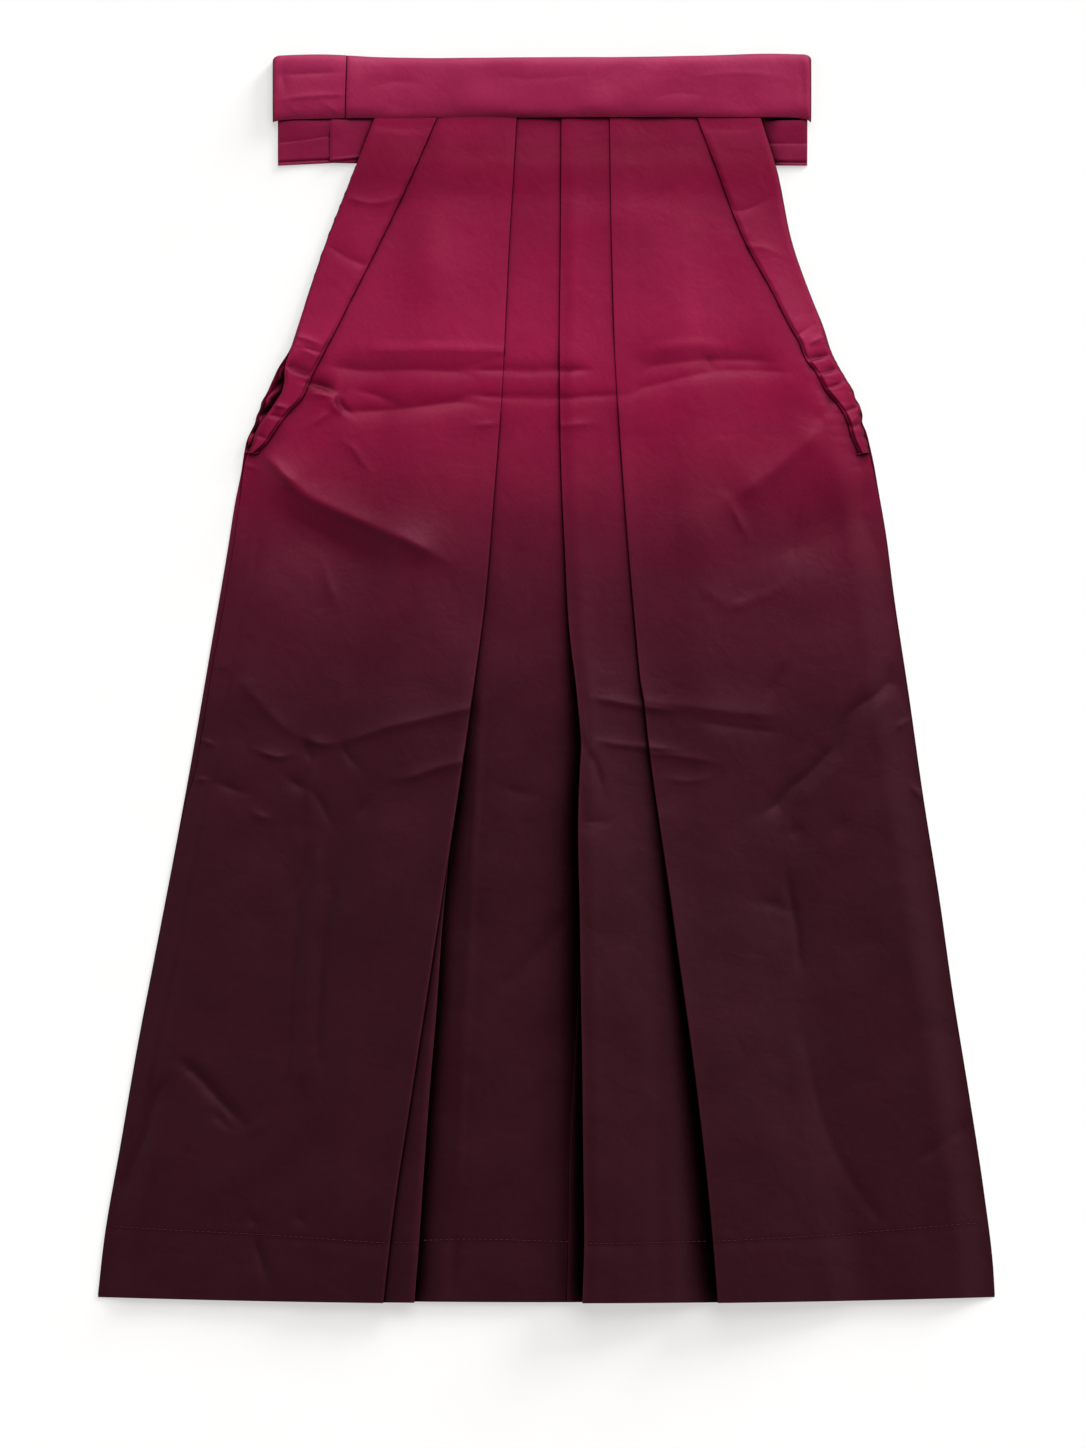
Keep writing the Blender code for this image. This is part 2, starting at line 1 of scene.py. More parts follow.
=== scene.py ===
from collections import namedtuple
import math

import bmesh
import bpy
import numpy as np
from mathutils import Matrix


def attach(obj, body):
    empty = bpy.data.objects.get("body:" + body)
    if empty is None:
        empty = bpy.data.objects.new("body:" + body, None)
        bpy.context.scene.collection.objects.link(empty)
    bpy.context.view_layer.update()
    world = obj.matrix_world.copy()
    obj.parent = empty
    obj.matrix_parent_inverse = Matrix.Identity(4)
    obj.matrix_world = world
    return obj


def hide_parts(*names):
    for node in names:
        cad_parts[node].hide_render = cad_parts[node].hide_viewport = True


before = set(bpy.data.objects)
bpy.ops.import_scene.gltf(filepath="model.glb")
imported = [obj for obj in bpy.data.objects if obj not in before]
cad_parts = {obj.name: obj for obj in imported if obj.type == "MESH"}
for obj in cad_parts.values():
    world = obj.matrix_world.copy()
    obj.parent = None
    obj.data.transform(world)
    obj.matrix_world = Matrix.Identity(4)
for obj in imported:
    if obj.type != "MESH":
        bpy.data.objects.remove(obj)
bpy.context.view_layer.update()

# Hakama trousers of polyester satin, laid flat on a table with the front up.
#
# Sizes are in millimetres, with X across the garment, Y up it and Z up from the table.
# A level is a distance down the garment from the seam under the front belt. The
# sections follow the making: the back first, then the front layer by layer, its
# pleats, the folded strips along the side openings, the belts and the stitching.


# ---------------------------------------------------------------------------
# The back panels
# Two plain lengths of satin, one for each leg, lie face down on the table. They
# are sewn to the fronts below the side openings, where their edges just show.

MM = 0.001
WAIST_Y = 433.3
FRONT_LENGTH = 914.0
HEM_RISE = 5.4
HALF_WIDTH = 345.6
OPENING_FOOT = 259.0
BACK_BELT_FOOT = 36.5
CROTCH = 520.0
INNER_SEAM = 45.0
CLOTH = 0.25
BACK_LIFT = 0.5
BACK_SHORT = 1.5


def smoothstep(t):
    t = np.clip(t, 0.0, 1.0)
    return t * t * (3 - 2 * t)


def blend(start, end, t):
    return start + (end - start) * t


def line_through(points):
    """A smooth line by way of the points: it gives the second number anywhere along the first."""
    along, across = np.array(list(points), float).T
    slopes = np.gradient(across, along)

    def line(place):
        place = np.asarray(place, float)
        i = np.clip(np.searchsorted(along, place) - 1, 0, len(along) - 2)
        span = along[i + 1] - along[i]
        t = np.clip((place - along[i]) / span, 0.0, 1.0)
        ahead = t * t * (3 - 2 * t)
        bow = slopes[i] * span * t * (1 - t) ** 2 - slopes[i + 1] * span * t * t * (1 - t)
        return across[i] * (1 - ahead) + across[i + 1] * ahead + bow

    return line


BACK_LEFT_EDGE = line_through((
    (0, -134), (37, -147.4), (101, -171.9), (153, -189), (163, -191.8), (180, -198.5), (194, -207.2),
    (201, -210.4), (213, -215.9), (220, -219.8), (224, -220.6), (231, -223.7), (235, -224.5),
    (245, -229.2), (249, -230.9), (256, -232.5), (275, -235.5), (294, -239.4), (333, -245.6),
    (410, -258.7), (487, -271.8), (564, -285.7), (641, -300.3), (718, -315), (795, -328.1),
    (872, -341.2), (914, -345.8),
))
BACK_RIGHT_EDGE = line_through((
    (0, 165.4), (37, 176.9), (101, 190.8), (133, 202.1), (163, 214), (183, 220.6), (193, 225.8),
    (205, 233), (211, 236.6), (217, 238.2), (222, 241.4), (225, 242.4), (230, 243.6), (235, 243.4),
    (242, 246.2), (255, 249.6), (267, 252.2), (290, 256.2), (318, 261.1), (371, 268), (448, 279.5),
    (525, 290.3), (603, 302.6), (680, 313.4), (757, 325.7), (834, 337.3), (892, 344.3), (914, 345.6),
))
CENTRE_PLEAT_FOLD = line_through((
    (0, 11.4), (101, 10.8), (178, 10), (256, 10.8), (333, 13.9), (400, 17.8), (440, 22.6), (470, 25.4),
    (481, 26.3), (502, 25.4), (536, 24.2), (569, 24.2), (602, 25.1), (649, 25.8), (718, 27),
    (818, 28.2), (864, 28.8), (914, 27.4),
))


def inner_seam(level):
    """Where the two legs meet, hidden under the centre pleat."""
    return CENTRE_PLEAT_FOLD(level) + INNER_SEAM


def place_y(x, level, short):
    """Y of a point: the hem rises a little towards the sides, and hidden layers end short of it."""
    length = FRONT_LENGTH - short - HEM_RISE * (x / HALF_WIDTH) ** 2
    return WAIST_Y - level * length / FRONT_LENGTH


def add_object(name, data):
    made = bpy.data.objects.new(name, data)
    bpy.context.scene.collection.objects.link(made)
    return made


def cloth_sheet(name, x, y, z, material, cloth=CLOTH, painted_fold_highlight=None):
    """A sheet of cloth through rows of points, as a closed shell with its own thickness. Its cut
    edges are sharp. An optional map from 0 to 1 gives each point's painted highlight at a fold edge."""
    rows = x.shape[0] - 1
    columns = x.shape[1] - 1
    bm = bmesh.new()
    bmesh.ops.create_grid(bm, x_segments=columns, y_segments=rows, size=0.5)
    mesh = bpy.data.meshes.new(name)
    bm.to_mesh(mesh)
    bm.free()
    flat = np.empty(len(mesh.vertices) * 3, np.float32)
    mesh.vertices.foreach_get("co", flat)
    flat = flat.reshape(-1, 3)
    row = np.rint((flat[:, 1] + 0.5) * rows).astype(int)
    column = np.rint((flat[:, 0] + 0.5) * columns).astype(int)
    points = np.stack([x[row, column], y[row, column], z[row, column]], axis=1) * MM
    mesh.vertices.foreach_set("co", points.astype(np.float32).ravel())
    mesh.shade_smooth()
    ends = np.empty(2 * len(mesh.edges), np.int32)
    mesh.edges.foreach_get("vertices", ends)
    first, last = ends.reshape(-1, 2).T
    at_end = (row[first] == row[last]) & np.isin(row[first], (0, rows))
    at_side = (column[first] == column[last]) & np.isin(column[first], (0, columns))
    mesh.attributes.new("sharp_edge", "BOOLEAN", "EDGE").data.foreach_set("value", at_end | at_side)
    # The painted fold highlight is stored for the material to lighten the colour there.
    if painted_fold_highlight is not None:
        shares = painted_fold_highlight[row, column].astype(np.float32)
        mesh.attributes.new("painted_fold_highlight", "FLOAT", "POINT").data.foreach_set("value", shares)
    mesh.materials.append(material)
    made = add_object(name, mesh)
    shell = made.modifiers.new("thickness of the cloth", "SOLIDIFY")
    shell.thickness = cloth * MM
    shell.offset = 0.0
    shell.use_quality_normals = True
    return made


def linear(hex_colour):
    """The linear RGBA of an sRGB hex colour."""
    channels = [int(hex_colour[i:i + 2], 16) / 255 for i in (1, 3, 5)]
    return [((c + 0.055) / 1.055) ** 2.4 if c > 0.04 else c / 12.92 for c in channels] + [1.0]


def fill_inputs(tree, node, inputs):
    """Each input is given a value, or linked from another node's output."""
    for socket, value in inputs.items():
        if isinstance(value, bpy.types.NodeSocket):
            tree.links.new(value, node.inputs[socket])
        else:
            node.inputs[socket].default_value = value


def add_node(tree, kind, inputs=None, **settings):
    node = tree.nodes.new(kind)
    for name, value in settings.items():
        setattr(node, name, value)
    fill_inputs(tree, node, inputs or {})
    return node


def combined(tree, operation, *values):
    """One number made from others."""
    return add_node(tree, "ShaderNodeMath", dict(enumerate(values)), operation=operation).outputs[0]


def rescaled(tree, value, span, new_span, **settings):
    """A number of one span carried over to another, and held within it."""
    return add_node(tree, "ShaderNodeMapRange", {
        "Value": value, "From Min": span[0], "From Max": span[1],
        "To Min": new_span[0], "To Max": new_span[1],
    }, **settings).outputs["Result"]


def noise(tree, place, scale, detail, distortion=0.0):
    return add_node(tree, "ShaderNodeTexNoise", {
        "Vector": place, "Scale": scale, "Detail": detail, "Distortion": distortion,
    }).outputs["Fac"]


def new_material(name):
    material = bpy.data.materials.new(name)
    material.use_nodes = True
    return material, material.node_tree, material.node_tree.nodes["Principled BSDF"]


# Polyester satin, woven and piece-dyed from crimson at the waist to wine and then
# plum: a close, smooth face with a soft milky gloss, so folds show as long gradients.
# Its 0.1 mm threads are too fine to show, so the slubs are drawn 1.2 mm apart.
# The panels' colour stops by Y give the dye's plum to crimson; the darker stops at 360 and 410 mm, just below
# the front belt, are painted shade of the belt's soft shadow.
PANEL_DYE_AND_BELT_SHADOW = (
    (-480, "#270810"), (-180, "#2B0A12"), (-30, "#300A15"), (75, "#450A1D"), (120, "#570923"),
    (180, "#770A30"), (225, "#7F0733"), (260, "#89113B"), (360, "#7B0732"), (410, "#70032A"),
    (430, "#7F0735"),
)
DYE_FOOT = -482.0
DYE_HEAD = 482.0
SLUB_SCALE = 830.0
SLUB_STRETCH = 0.16
RUMPLE_SCALE = 46.0
TWILL_TURN = (0.0, 0.0, math.radians(52))
DYE_DRIFT = 0.03
DRIFT_SCALE = 9.0
CLOUD_SCALE = 24.0
GLOSS = 0.26
FOLD_HIGHLIGHT_GAIN = 0.9
RECESS_REACH = 0.045
RECESS_DEPTH = 7.0
SEAM_REACH = 0.006
SEAM_DEPTH = 3.5


def satin(name, dye_and_shade_stops, roughness):
    material, tree, shader = new_material(name)
    place = add_node(tree, "ShaderNodeTexCoord").outputs["Object"]

    height = add_node(tree, "ShaderNodeSeparateXYZ", {"Vector": place}).outputs["Y"]
    share = rescaled(tree, height, (DYE_FOOT * MM, DYE_HEAD * MM), (0.0, 1.0))
    drift = combined(tree, "MULTIPLY_ADD", noise(tree, place, DRIFT_SCALE, 3.0), DYE_DRIFT, -DYE_DRIFT / 2)
    ramp = add_node(tree, "ShaderNodeValToRGB", {"Fac": combined(tree, "ADD", share, drift)})
    stops = ramp.color_ramp.elements
    while len(stops) < len(dye_and_shade_stops):
        stops.new(1.0)
    for stop, (y, colour) in zip(stops, dye_and_shade_stops):
        stop.position = (y - DYE_FOOT) / (DYE_HEAD - DYE_FOOT)
        stop.color = linear(colour)

    twill = add_node(tree, "ShaderNodeMapping", {"Vector": place, "Rotation": TWILL_TURN}).outputs["Vector"]
    threads = []
    for stretch in ((SLUB_STRETCH, 1.0, 1.0), (1.0, 2.5 * SLUB_STRETCH, 1.0)):
        run = add_node(tree, "ShaderNodeMapping", {"Vector": twill, "Scale": stretch}).outputs["Vector"]
        threads.append(noise(tree, run, SLUB_SCALE, 2.0))
    weave = combined(tree, "ADD", *threads)
    grain = rescaled(tree, weave, (0.6, 1.4), (0.9, 1.1))
    cloud = rescaled(tree, noise(tree, place, CLOUD_SCALE, 4.0), (0.3, 0.7), (0.93, 1.07))
    # A painted highlight lightens the colour along the fold edges, where they catch the light.
    painted_fold_highlight = add_node(tree, "ShaderNodeAttribute", attribute_name="painted_fold_highlight").outputs["Fac"]
    lit_fold_gain = combined(tree, "MULTIPLY_ADD", painted_fold_highlight, FOLD_HIGHLIGHT_GAIN, 1.0)
    cloth_shade = combined(tree, "MULTIPLY", combined(tree, "MULTIPLY", grain, cloud), lit_fold_gain)
    # Deep beside the folds the satin is drawn darker, as little light gets in between them.
    # The small steps of a seam or a hem only darken it a little.
    near, far = (
        add_node(tree, "ShaderNodeAmbientOcclusion", {"Distance": reach}, samples=8).outputs["AO"]
        for reach in (SEAM_REACH, RECESS_REACH)
    )
    deep = combined(tree, "POWER", combined(tree, "DIVIDE", far, near), RECESS_DEPTH)
    shallow = combined(tree, "POWER", near, SEAM_DEPTH)
    depth_shade = combined(tree, "MULTIPLY", deep, shallow)
    tone = combined(tree, "MULTIPLY", cloth_shade, depth_shade)
    shaded = add_node(
        tree, "ShaderNodeVectorMath", {0: ramp.outputs["Color"], "Scale": tone}, operation="SCALE",
    )

    rumple = noise(tree, place, RUMPLE_SCALE, 3.0, distortion=0.4)
    soft = add_node(tree, "ShaderNodeBump", {"Height": rumple, "Distance": 0.0011, "Strength": 0.6})
    fine = add_node(
        tree, "ShaderNodeBump",
        {"Height": weave, "Distance": 0.00005, "Strength": 0.6, "Normal": soft.outputs["Normal"]},
    )
    fill_inputs(tree, shader, {
        "Base Color": shaded.outputs["Vector"],
        "Normal": fine.outputs["Normal"],
        "Roughness": rescaled(tree, rumple, (0.0, 1.0), (roughness - 0.05, roughness + 0.05)),
        "Specular IOR Level": combined(tree, "MULTIPLY", depth_shade, GLOSS),
        "Specular Tint": linear("#FFB4CC"),
        "Metallic": 0.0,
        "IOR": 1.5,
        "Sheen Weight": 0.03,
        "Sheen Roughness": 0.4,
        "Sheen Tint": linear("#FFB4CC"),
    })
    return material


PANEL_SATIN = satin("woven_polyester_satin_panels", PANEL_DYE_AND_BELT_SHADOW, 0.48)


def back_panel(name, left, right, ripple):
    """A back panel from the back belt down to the hem, with a little ripple beside the opening."""
    levels = np.concatenate([
        np.linspace(BACK_BELT_FOOT + 0.3, 300, 150),
        np.linspace(300, FRONT_LENGTH, 60)[1:],
    ])[:, None]
    x = blend(left(levels), right(levels), np.linspace(0, 1, 25)[None, :])
    beside = np.minimum(np.abs(x - BACK_LEFT_EDGE(levels)), np.abs(x - BACK_RIGHT_EDGE(levels)))
    puckers = 0.5 + 0.5 * np.sin(levels / 3.1 + 1.4 * np.sin(levels / 9.0) + ripple)
    near = np.exp(-(beside / 14) ** 2) * smoothstep((OPENING_FOOT - levels) / 20)
    z = BACK_LIFT + 0.5 * near * puckers
    return cloth_sheet(name, x, place_y(x, levels, BACK_SHORT), z, PANEL_SATIN)


back_left = back_panel("back_left_panel_cloth", BACK_LEFT_EDGE, lambda v: inner_seam(v) - 0.3, 0.0)
back_right = back_panel("back_right_panel_cloth", inner_seam, BACK_RIGHT_EDGE, 2.0)
for panel, node, flat, area in (
    (back_left, "back_left_panel", (0.418, 0.915), 0.263),
    (back_right, "back_right_panel", (0.32, 0.915), 0.194),
):
    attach(panel, "root")
    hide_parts(node)


# ---------------------------------------------------------------------------
# The back's side strips
# Along each side opening the back's own edge is folded in and hand-stitched, which
# puckers it. The crinkled fold shows as small scallops past the edge of the front.

STRIP_WIDTH = 26.0
STRIP_LIFT = 1.1


def back_side_strip(name, edge, side, inset, phase):
    levels = np.linspace(BACK_BELT_FOOT + 0.6, OPENING_FOOT, 260)[:, None]
    crinkle = np.abs(np.sin(levels / 4.0 + 0.9 * np.sin(levels / 11.0) + phase))
    start = edge(levels) + side * (inset(levels) + 0.7 - 1.6 * crinkle)
    across = np.linspace(0, 1, 17)[None, :]
    x = blend(start, edge(levels) + side * STRIP_WIDTH, across)
    beside = np.abs(x - start)
    folds = np.abs(np.sin(levels / 5.6 + beside / 4.5 + 0.9 * np.sin(levels / 13.0) + phase))
    opening = smoothstep((levels - 150) / 40) * smoothstep((OPENING_FOOT + 4 - levels) / 12)
    rim = blend(0.5 * folds, 1.0 + 2.0 * folds, opening) * np.exp(-(beside / (2.0 + 3.5 * folds)) ** 2)
    z = BACK_LIFT + blend(STRIP_LIFT, 0.5, opening) + rim
    return cloth_sheet(name, x, place_y(x, levels, BACK_SHORT), z, PANEL_SATIN)


LEFT_STRIP_INSET = line_through((
    (0, 1.0), (150, 1.5), (175, 2.5), (200, 3.8), (225, 3.4), (245, 2.0), (259, 1.2),
))
RIGHT_STRIP_INSET = line_through(((0, 1.5), (150, 3.0), (180, 4.0), (259, 4.6)))
for name, node, edge, side, inset, phase in (
    ("back_left_strip_cloth", "back_left_side_strip", BACK_LEFT_EDGE, 1, LEFT_STRIP_INSET, 0.4),
    ("back_right_strip_cloth", "back_right_side_strip", BACK_RIGHT_EDGE, -1, RIGHT_STRIP_INSET, 2.9),
):
    strip = back_side_strip(name, edge, side, inset, phase)
    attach(strip, "root")
    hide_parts(node)


# ---------------------------------------------------------------------------
# The back belt and its tie
# A narrow folded belt holds the back's waist. It lies under the tops of the front
# panels and shows at both sides of them, with the seam of its fold along its middle.

BELT_CLOTH = 0.7
# The same satin over a stiffener, crimson all along and a little glossier than the panels,
# so that the belts look firm.
BELT_DYE = (
    (395, "#780F36"), (428, "#7E1239"), (436, "#901E46"), (460, "#8C1B43"), (482, "#97244E"),
)
BELT_SATIN = satin("folded_polyester_satin_belts", BELT_DYE, 0.44)
BACK_BELT_ENDS = (-207.0, 201.0)
BACK_BELT_HEAD = -2.5
BACK_BELT_FEET = line_through(((-207, 36.4), (-168, 34.4), (-100, 35.8), (150, 36.2), (201, 36.4)))
BACK_BELT_SEAM = line_through(((-207, 19.4), (-188, 17.2), (-168, 14.5), (-100, 19.0), (201, 19.9)))
BACK_BELT_FACE = 1.8
BACK_TIE_FACE = 3.1
UNDERSIDE_SEAM = -40.0
FRONT_SIDES = (-150.0, 170.0)


def wrapped_run(start, end, stop, face, floor, across, steps):
    """A band's section: along its face from `start` to the turn at `end`, round it, and back
    along the table to `stop`."""
    side = 1 if end > start else -1
    drop = face(np.array([end - side * 4.0]), across)[0] - floor
    centre = end - side * (BELT_CLOTH + drop) / 2
    run_x = np.linspace(start, centre, steps + 1)
    run_z = face(run_x, across)
    bend = (run_z[-1] - floor) / 2
    angles = np.linspace(math.pi / 2, -math.pi / 2, 11)[1:-1]
    back_x = np.linspace(centre, stop, 5)
    return (
        np.concatenate([run_x, centre + side * bend * np.cos(angles), back_x]),
        np.concatenate([run_z, floor + bend + bend * np.sin(angles), np.full(5, floor)]),
    )


def raised_head(x, level):
    """Beside the front panels the back belt and its tie rise to the mouth of the front belt,
    and dip where they go into it."""
    left, right = FRONT_SIDES
    beside = smoothstep((left - x) / 10) + smoothstep((x - right) / 10)
    mouth = np.where(x > 0, 1.9, 1.5)
    return beside * (1.8 * smoothstep((22 - level) / 22) - 2.4 * smoothstep((mouth - level) / 0.7))


def back_belt_level(x, across):
    return blend(BACK_BELT_FEET(x), BACK_BELT_HEAD, across)


def back_belt_face(x, across):
    """The back belt's face, with its seam pulled down by the stitches and a fold at its foot."""
    level = back_belt_level(x, across)
    below_seam = level - BACK_BELT_SEAM(x)
    seam = -0.55 * np.exp(-np.abs(below_seam) / np.where(below_seam > 0, 0.8, 3.0))
    from_foot = BACK_BELT_FEET(x) - level
    foot = -0.4 * np.exp(-(from_foot / 0.7) ** 2) - 1.0 * np.exp(-((from_foot - 2.2) / 1.1) ** 2)
    waves = 0.12 * np.sin(x / 9.0 + 5 * across) + 0.1 * np.sin(x / 4.7 - 9 * across)
    return BACK_BELT_FACE + seam + foot + waves + raised_head(x, level)


def back_belt():
    rows_x, rows_y, rows_z = [], [], []
    for across in np.linspace(0, 1, 61):
        left, right = (
            wrapped_run(UNDERSIDE_SEAM, end, UNDERSIDE_SEAM + gap, back_belt_face, BACK_LIFT, across, steps)
            for end, gap, steps in ((BACK_BELT_ENDS[0], -0.3, 60), (BACK_BELT_ENDS[1], 0.3, 80))
        )
        x = np.concatenate([left[0][::-1], right[0][1:]])
        rows_x.append(x)
        rows_y.append(WAIST_Y - back_belt_level(x, across))
        rows_z.append(np.concatenate([left[1][::-1], right[1][1:]]))
    return cloth_sheet(
        "back_belt_cloth", np.array(rows_x), np.array(rows_y), np.array(rows_z), BELT_SATIN, BELT_CLOTH,
    )


BACK_TIE_ENDS = (-166.9, 160.0)
BACK_TIE_SHOWN = -130.0
BACK_TIE_FOLD = line_through(((-167, 33.2), (-150, 31.4), (-138, 29.8), (160, 30.0)))


def back_tie():
    """The back tie is folded over its belt: its left end shows beside the front panel."""
    across = np.linspace(0, 1, 61)[:, None]
    left, right = BACK_TIE_ENDS
    x = np.concatenate([
        np.linspace(left, BACK_TIE_SHOWN, 40), np.linspace(BACK_TIE_SHOWN, right, 60)[1:],
    ])[None, :]
    level = blend(BACK_BELT_FEET(x) + 0.2, BACK_BELT_HEAD + 0.6, across)
    end = -0.8 * np.exp(-((x - BACK_TIE_ENDS[0]) / 1.2) ** 2)
    below_fold = level - BACK_TIE_FOLD(x)
    fold = -0.7 * smoothstep((below_fold + 0.2) / 0.8) + 0.35 * np.exp(-((below_fold + 0.8) / 1.2) ** 2)
    waves = 0.15 * np.sin(x / 8.0 + level / 7.0)
    z = BACK_TIE_FACE + end + fold + waves + 0.8 * raised_head(x, level)
    return cloth_sheet("back_tie_cloth", x + 0 * level, WAIST_Y - level, z, BELT_SATIN, BELT_CLOTH)


for piece, node, size in (
    (back_belt(), "back_belt", (0.816, 0.033)),
    (back_tie(), "back_tie_fold", (0.327, 0.032)),
):
    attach(piece, "root")
    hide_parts(node)


# ---------------------------------------------------------------------------
# The centre panel
# The middle of the front is a flat panel that shows between the left pleats and the
# centre pleat. It lies on the back, and every pleat is laid over it in turn.

# One layer's middle lies LIE above the next one's. The pleats hold some air below them, and the
# cloth over an edge comes down within SETTLE of it, or within FOLD_SETTLE past a fold.
LIE = 0.32
BACK_BELT_TOP = 3.5
STRIP_THICKNESS = 1.2
PLEAT_AIR = 2.6
AIR_PAST_SEAM = 45.0
AIR_FADE = 70.0
REST_MARGIN = 8.0
SETTLE = 34.0
FOLD_MARGIN = 1.5
FOLD_SETTLE = 14.0

LEFT_INNER_FOLD = line_through((
    (0, -32.8), (101, -40.5), (256, -52), (333, -57.4), (448, -66.7), (572, -75.2), (622, -79.8),
    (689, -84.4), (745, -89.1), (818, -94.4), (875, -98.3), (914, -101.4),
))
LEFT_INNER_END = line_through(((0, -67), (259, -93), (572, -125), (914, -159.5)))


def back_strip_cover(x, level):
    beside = np.maximum(x - BACK_LEFT_EDGE(level) - STRIP_WIDTH, 0)
    beside = np.minimum(beside, np.maximum(BACK_RIGHT_EDGE(level) - STRIP_WIDTH - x, 0))
    along = smoothstep((level - OPENING_FOOT - REST_MARGIN) / SETTLE)
    return (1 - smoothstep((beside - REST_MARGIN) / SETTLE)) * (1 - along)


def bed(x, level):
    """Where the front's lowest layer lies: on the back, its strips or its belt, with some air
    held in under the pleats."""
    over_belt = 1 - smoothstep((level - BACK_BELT_FOOT + 4) / SETTLE)
    on_back = BACK_LIFT + STRIP_THICKNESS * back_strip_cover(x, level)
    rest = blend(on_back, BACK_BELT_TOP, over_belt)
    beside = np.maximum(LEFT_INNER_END(level) - x, x - inner_seam(level) - AIR_PAST_SEAM)
    air = PLEAT_AIR * (1 - smoothstep(beside / AIR_FADE)) * smoothstep(level / 90)
    return rest + LIE + air


# A layer of the front: its pressed fold and its other end at a level, and how far it
# stands off the layer below it at any place.
Layer = namedtuple("Layer", "fold end rise")


def cover(layer, x, level):
    """One over the layer's own width, dying away beyond it as the cloth above comes down."""
    side = np.sign(layer.fold(level) - layer.end(level))
    past_fold = side * (x - layer.fold(level)) - FOLD_MARGIN
    past_end = side * (layer.end(level) - x) - REST_MARGIN
    return (1 - smoothstep(past_fold / FOLD_SETTLE)) * (1 - smoothstep(past_end / SETTLE))


def pile_height(pile, x, level):
    """The middle of a sheet that rests on every layer of the pile."""
    z = bed(x, level)
    for layer in pile:
        z = z + cover(layer, x, level) * (LIE + layer.rise(x, level))
    return z


# A crease is a soft ridge or, with a negative rise, a crisp trough along a path of (x, level)
# places. Its two widths are on the left and right hand of one who walks along it.
Crease = namedtuple("Crease", "rise left_hand right_hand path")
PATH_STEP = 5.0
TAPER = 16.0


def crease_height(creases, x, level):
    x, level = np.broadcast_arrays(x, level)
    total = np.zeros(x.shape)
    for crease in creases:
        corners = np.array(crease.path, float)
        run = np.concatenate([[0.0], np.cumsum(np.hypot(*np.diff(corners, axis=0).T))])
        steps = np.linspace(0, run[-1], max(2, round(run[-1] / PATH_STEP)) + 1)
        path = np.stack([line_through(zip(run, corners[:, i]))(steps) for i in (0, 1)], axis=1)
        reach = 4 * max(crease.left_hand, crease.right_hand)
        near = (
            (x > path[:, 0].min() - reach) & (x < path[:, 0].max() + reach)
            & (level > path[:, 1].min() - reach) & (level < path[:, 1].max() + reach)
        )
        px, pv = x[near], level[near]
        nearest = np.full(px.shape, 1e9)
        side = np.zeros(px.shape)
        along = np.zeros(px.shape)
        for i in range(len(path) - 1):
            dx, dv = path[i + 1] - path[i]
            length = math.hypot(dx, dv)
            t = np.clip(((px - path[i, 0]) * dx + (pv - path[i, 1]) * dv) / length ** 2, 0, 1)
            off = np.hypot(px - path[i, 0] - t * dx, pv - path[i, 1] - t * dv)
            turn = (dx * (pv - path[i, 1]) - dv * (px - path[i, 0])) / length
            closer = off < nearest
            nearest = np.where(closer, off, nearest)
            side = np.where(closer, turn / np.maximum(off, 1e-6), side)
            along = np.where(closer, steps[i] + t * (steps[i + 1] - steps[i]), along)
        side = np.clip(side, -1, 1)
        width = blend(crease.left_hand, crease.right_hand, (1 + side) / 2)
        widest = max(crease.left_hand, crease.right_hand)
        taper = min(max(TAPER, 1.2 * widest), 0.45 * steps[-1])
        fade = smoothstep(along / taper) * smoothstep((steps[-1] - along) / taper)
        if crease.rise < 0:
            rounding = max(0.6, 0.4 * (widest - 20))
        else:
            rounding = 0.18 * min(crease.left_hand, crease.right_hand)
        profile = np.exp(-1.6 * (np.hypot(nearest, rounding) - rounding) / width)
        total[near] += crease.rise * blend(0.25, 1.0, fade) * profile
    return total


def soft_waves(x, level, shift):
    """The slight, uneven waviness of laid cloth."""
    a = x + 11 * np.sin(level / 43 + shift)
    b = level + 9 * np.sin(x / 37 - shift)
    return (
        0.42 * np.sin(a / 29 + b / 71 + shift) * np.sin(b / 27 - a / 83)
        + 0.26 * np.sin(b / 14 + a / 61 + 2 * shift) * np.sin(a / 21 - b / 90)
        + 0.12 * np.sin(a / 10 - b / 37 + 3 * shift) + 0.08 * np.sin(b / 8.5 + a / 19 + 5 * shift)
    )


HEM_LINE = line_through((
    (-340, 858.5), (-303, 860), (-251, 861.6), (-211, 862.9), (-171, 865.1), (-118, 867.6), (-60, 866),
    (30, 868), (113, 866.9), (195, 863.8), (340, 855.7),
))


def hem_fold(x, level):
    """The hem is turned up inside and stitched: it is thicker below its stitch line, which
    pulls a groove and small puckers."""
    below = level - HEM_LINE(x)
    pulled = -0.09 * np.exp(-((below - 2.5) / 4.0) ** 2)
    puckers = 0.05 * np.sin(x / 2.9 + 1.3 * np.sin(x / 8.3)) * np.exp(-(below / 9) ** 2)
    return 0.05 * smoothstep((below + 2) / 16) + pulled + puckers


def floor_of(rise):
    """A rise that comes down softly to nothing, and never through the layer below."""
    return (rise + np.sqrt(rise ** 2 + 0.04)) / 2


CENTRE_CREASES = (
    Crease(-1.5, 6, 4, ((-60, 195), (-34, 195), (-13, 196), (12, 195), (30, 195))),
    Crease(-1.2, 5, 4, ((-60, 214), (-30, 216), (20, 217))),
    Crease(-1.4, 12, 12, ((20, 610), (-9, 647), (-38, 676))),
    Crease(0.8, 1.5, 6, ((-49, 440), (-52, 497), (-55, 552), (-58, 636), (-63, 720), (-67, 830))),
    Crease(-1.5, 3, 4, ((-69, 858), (-71, 880), (-73, 904))),
    Crease(-0.9, 8, 8, ((-36, 518), (-5, 525))),
)


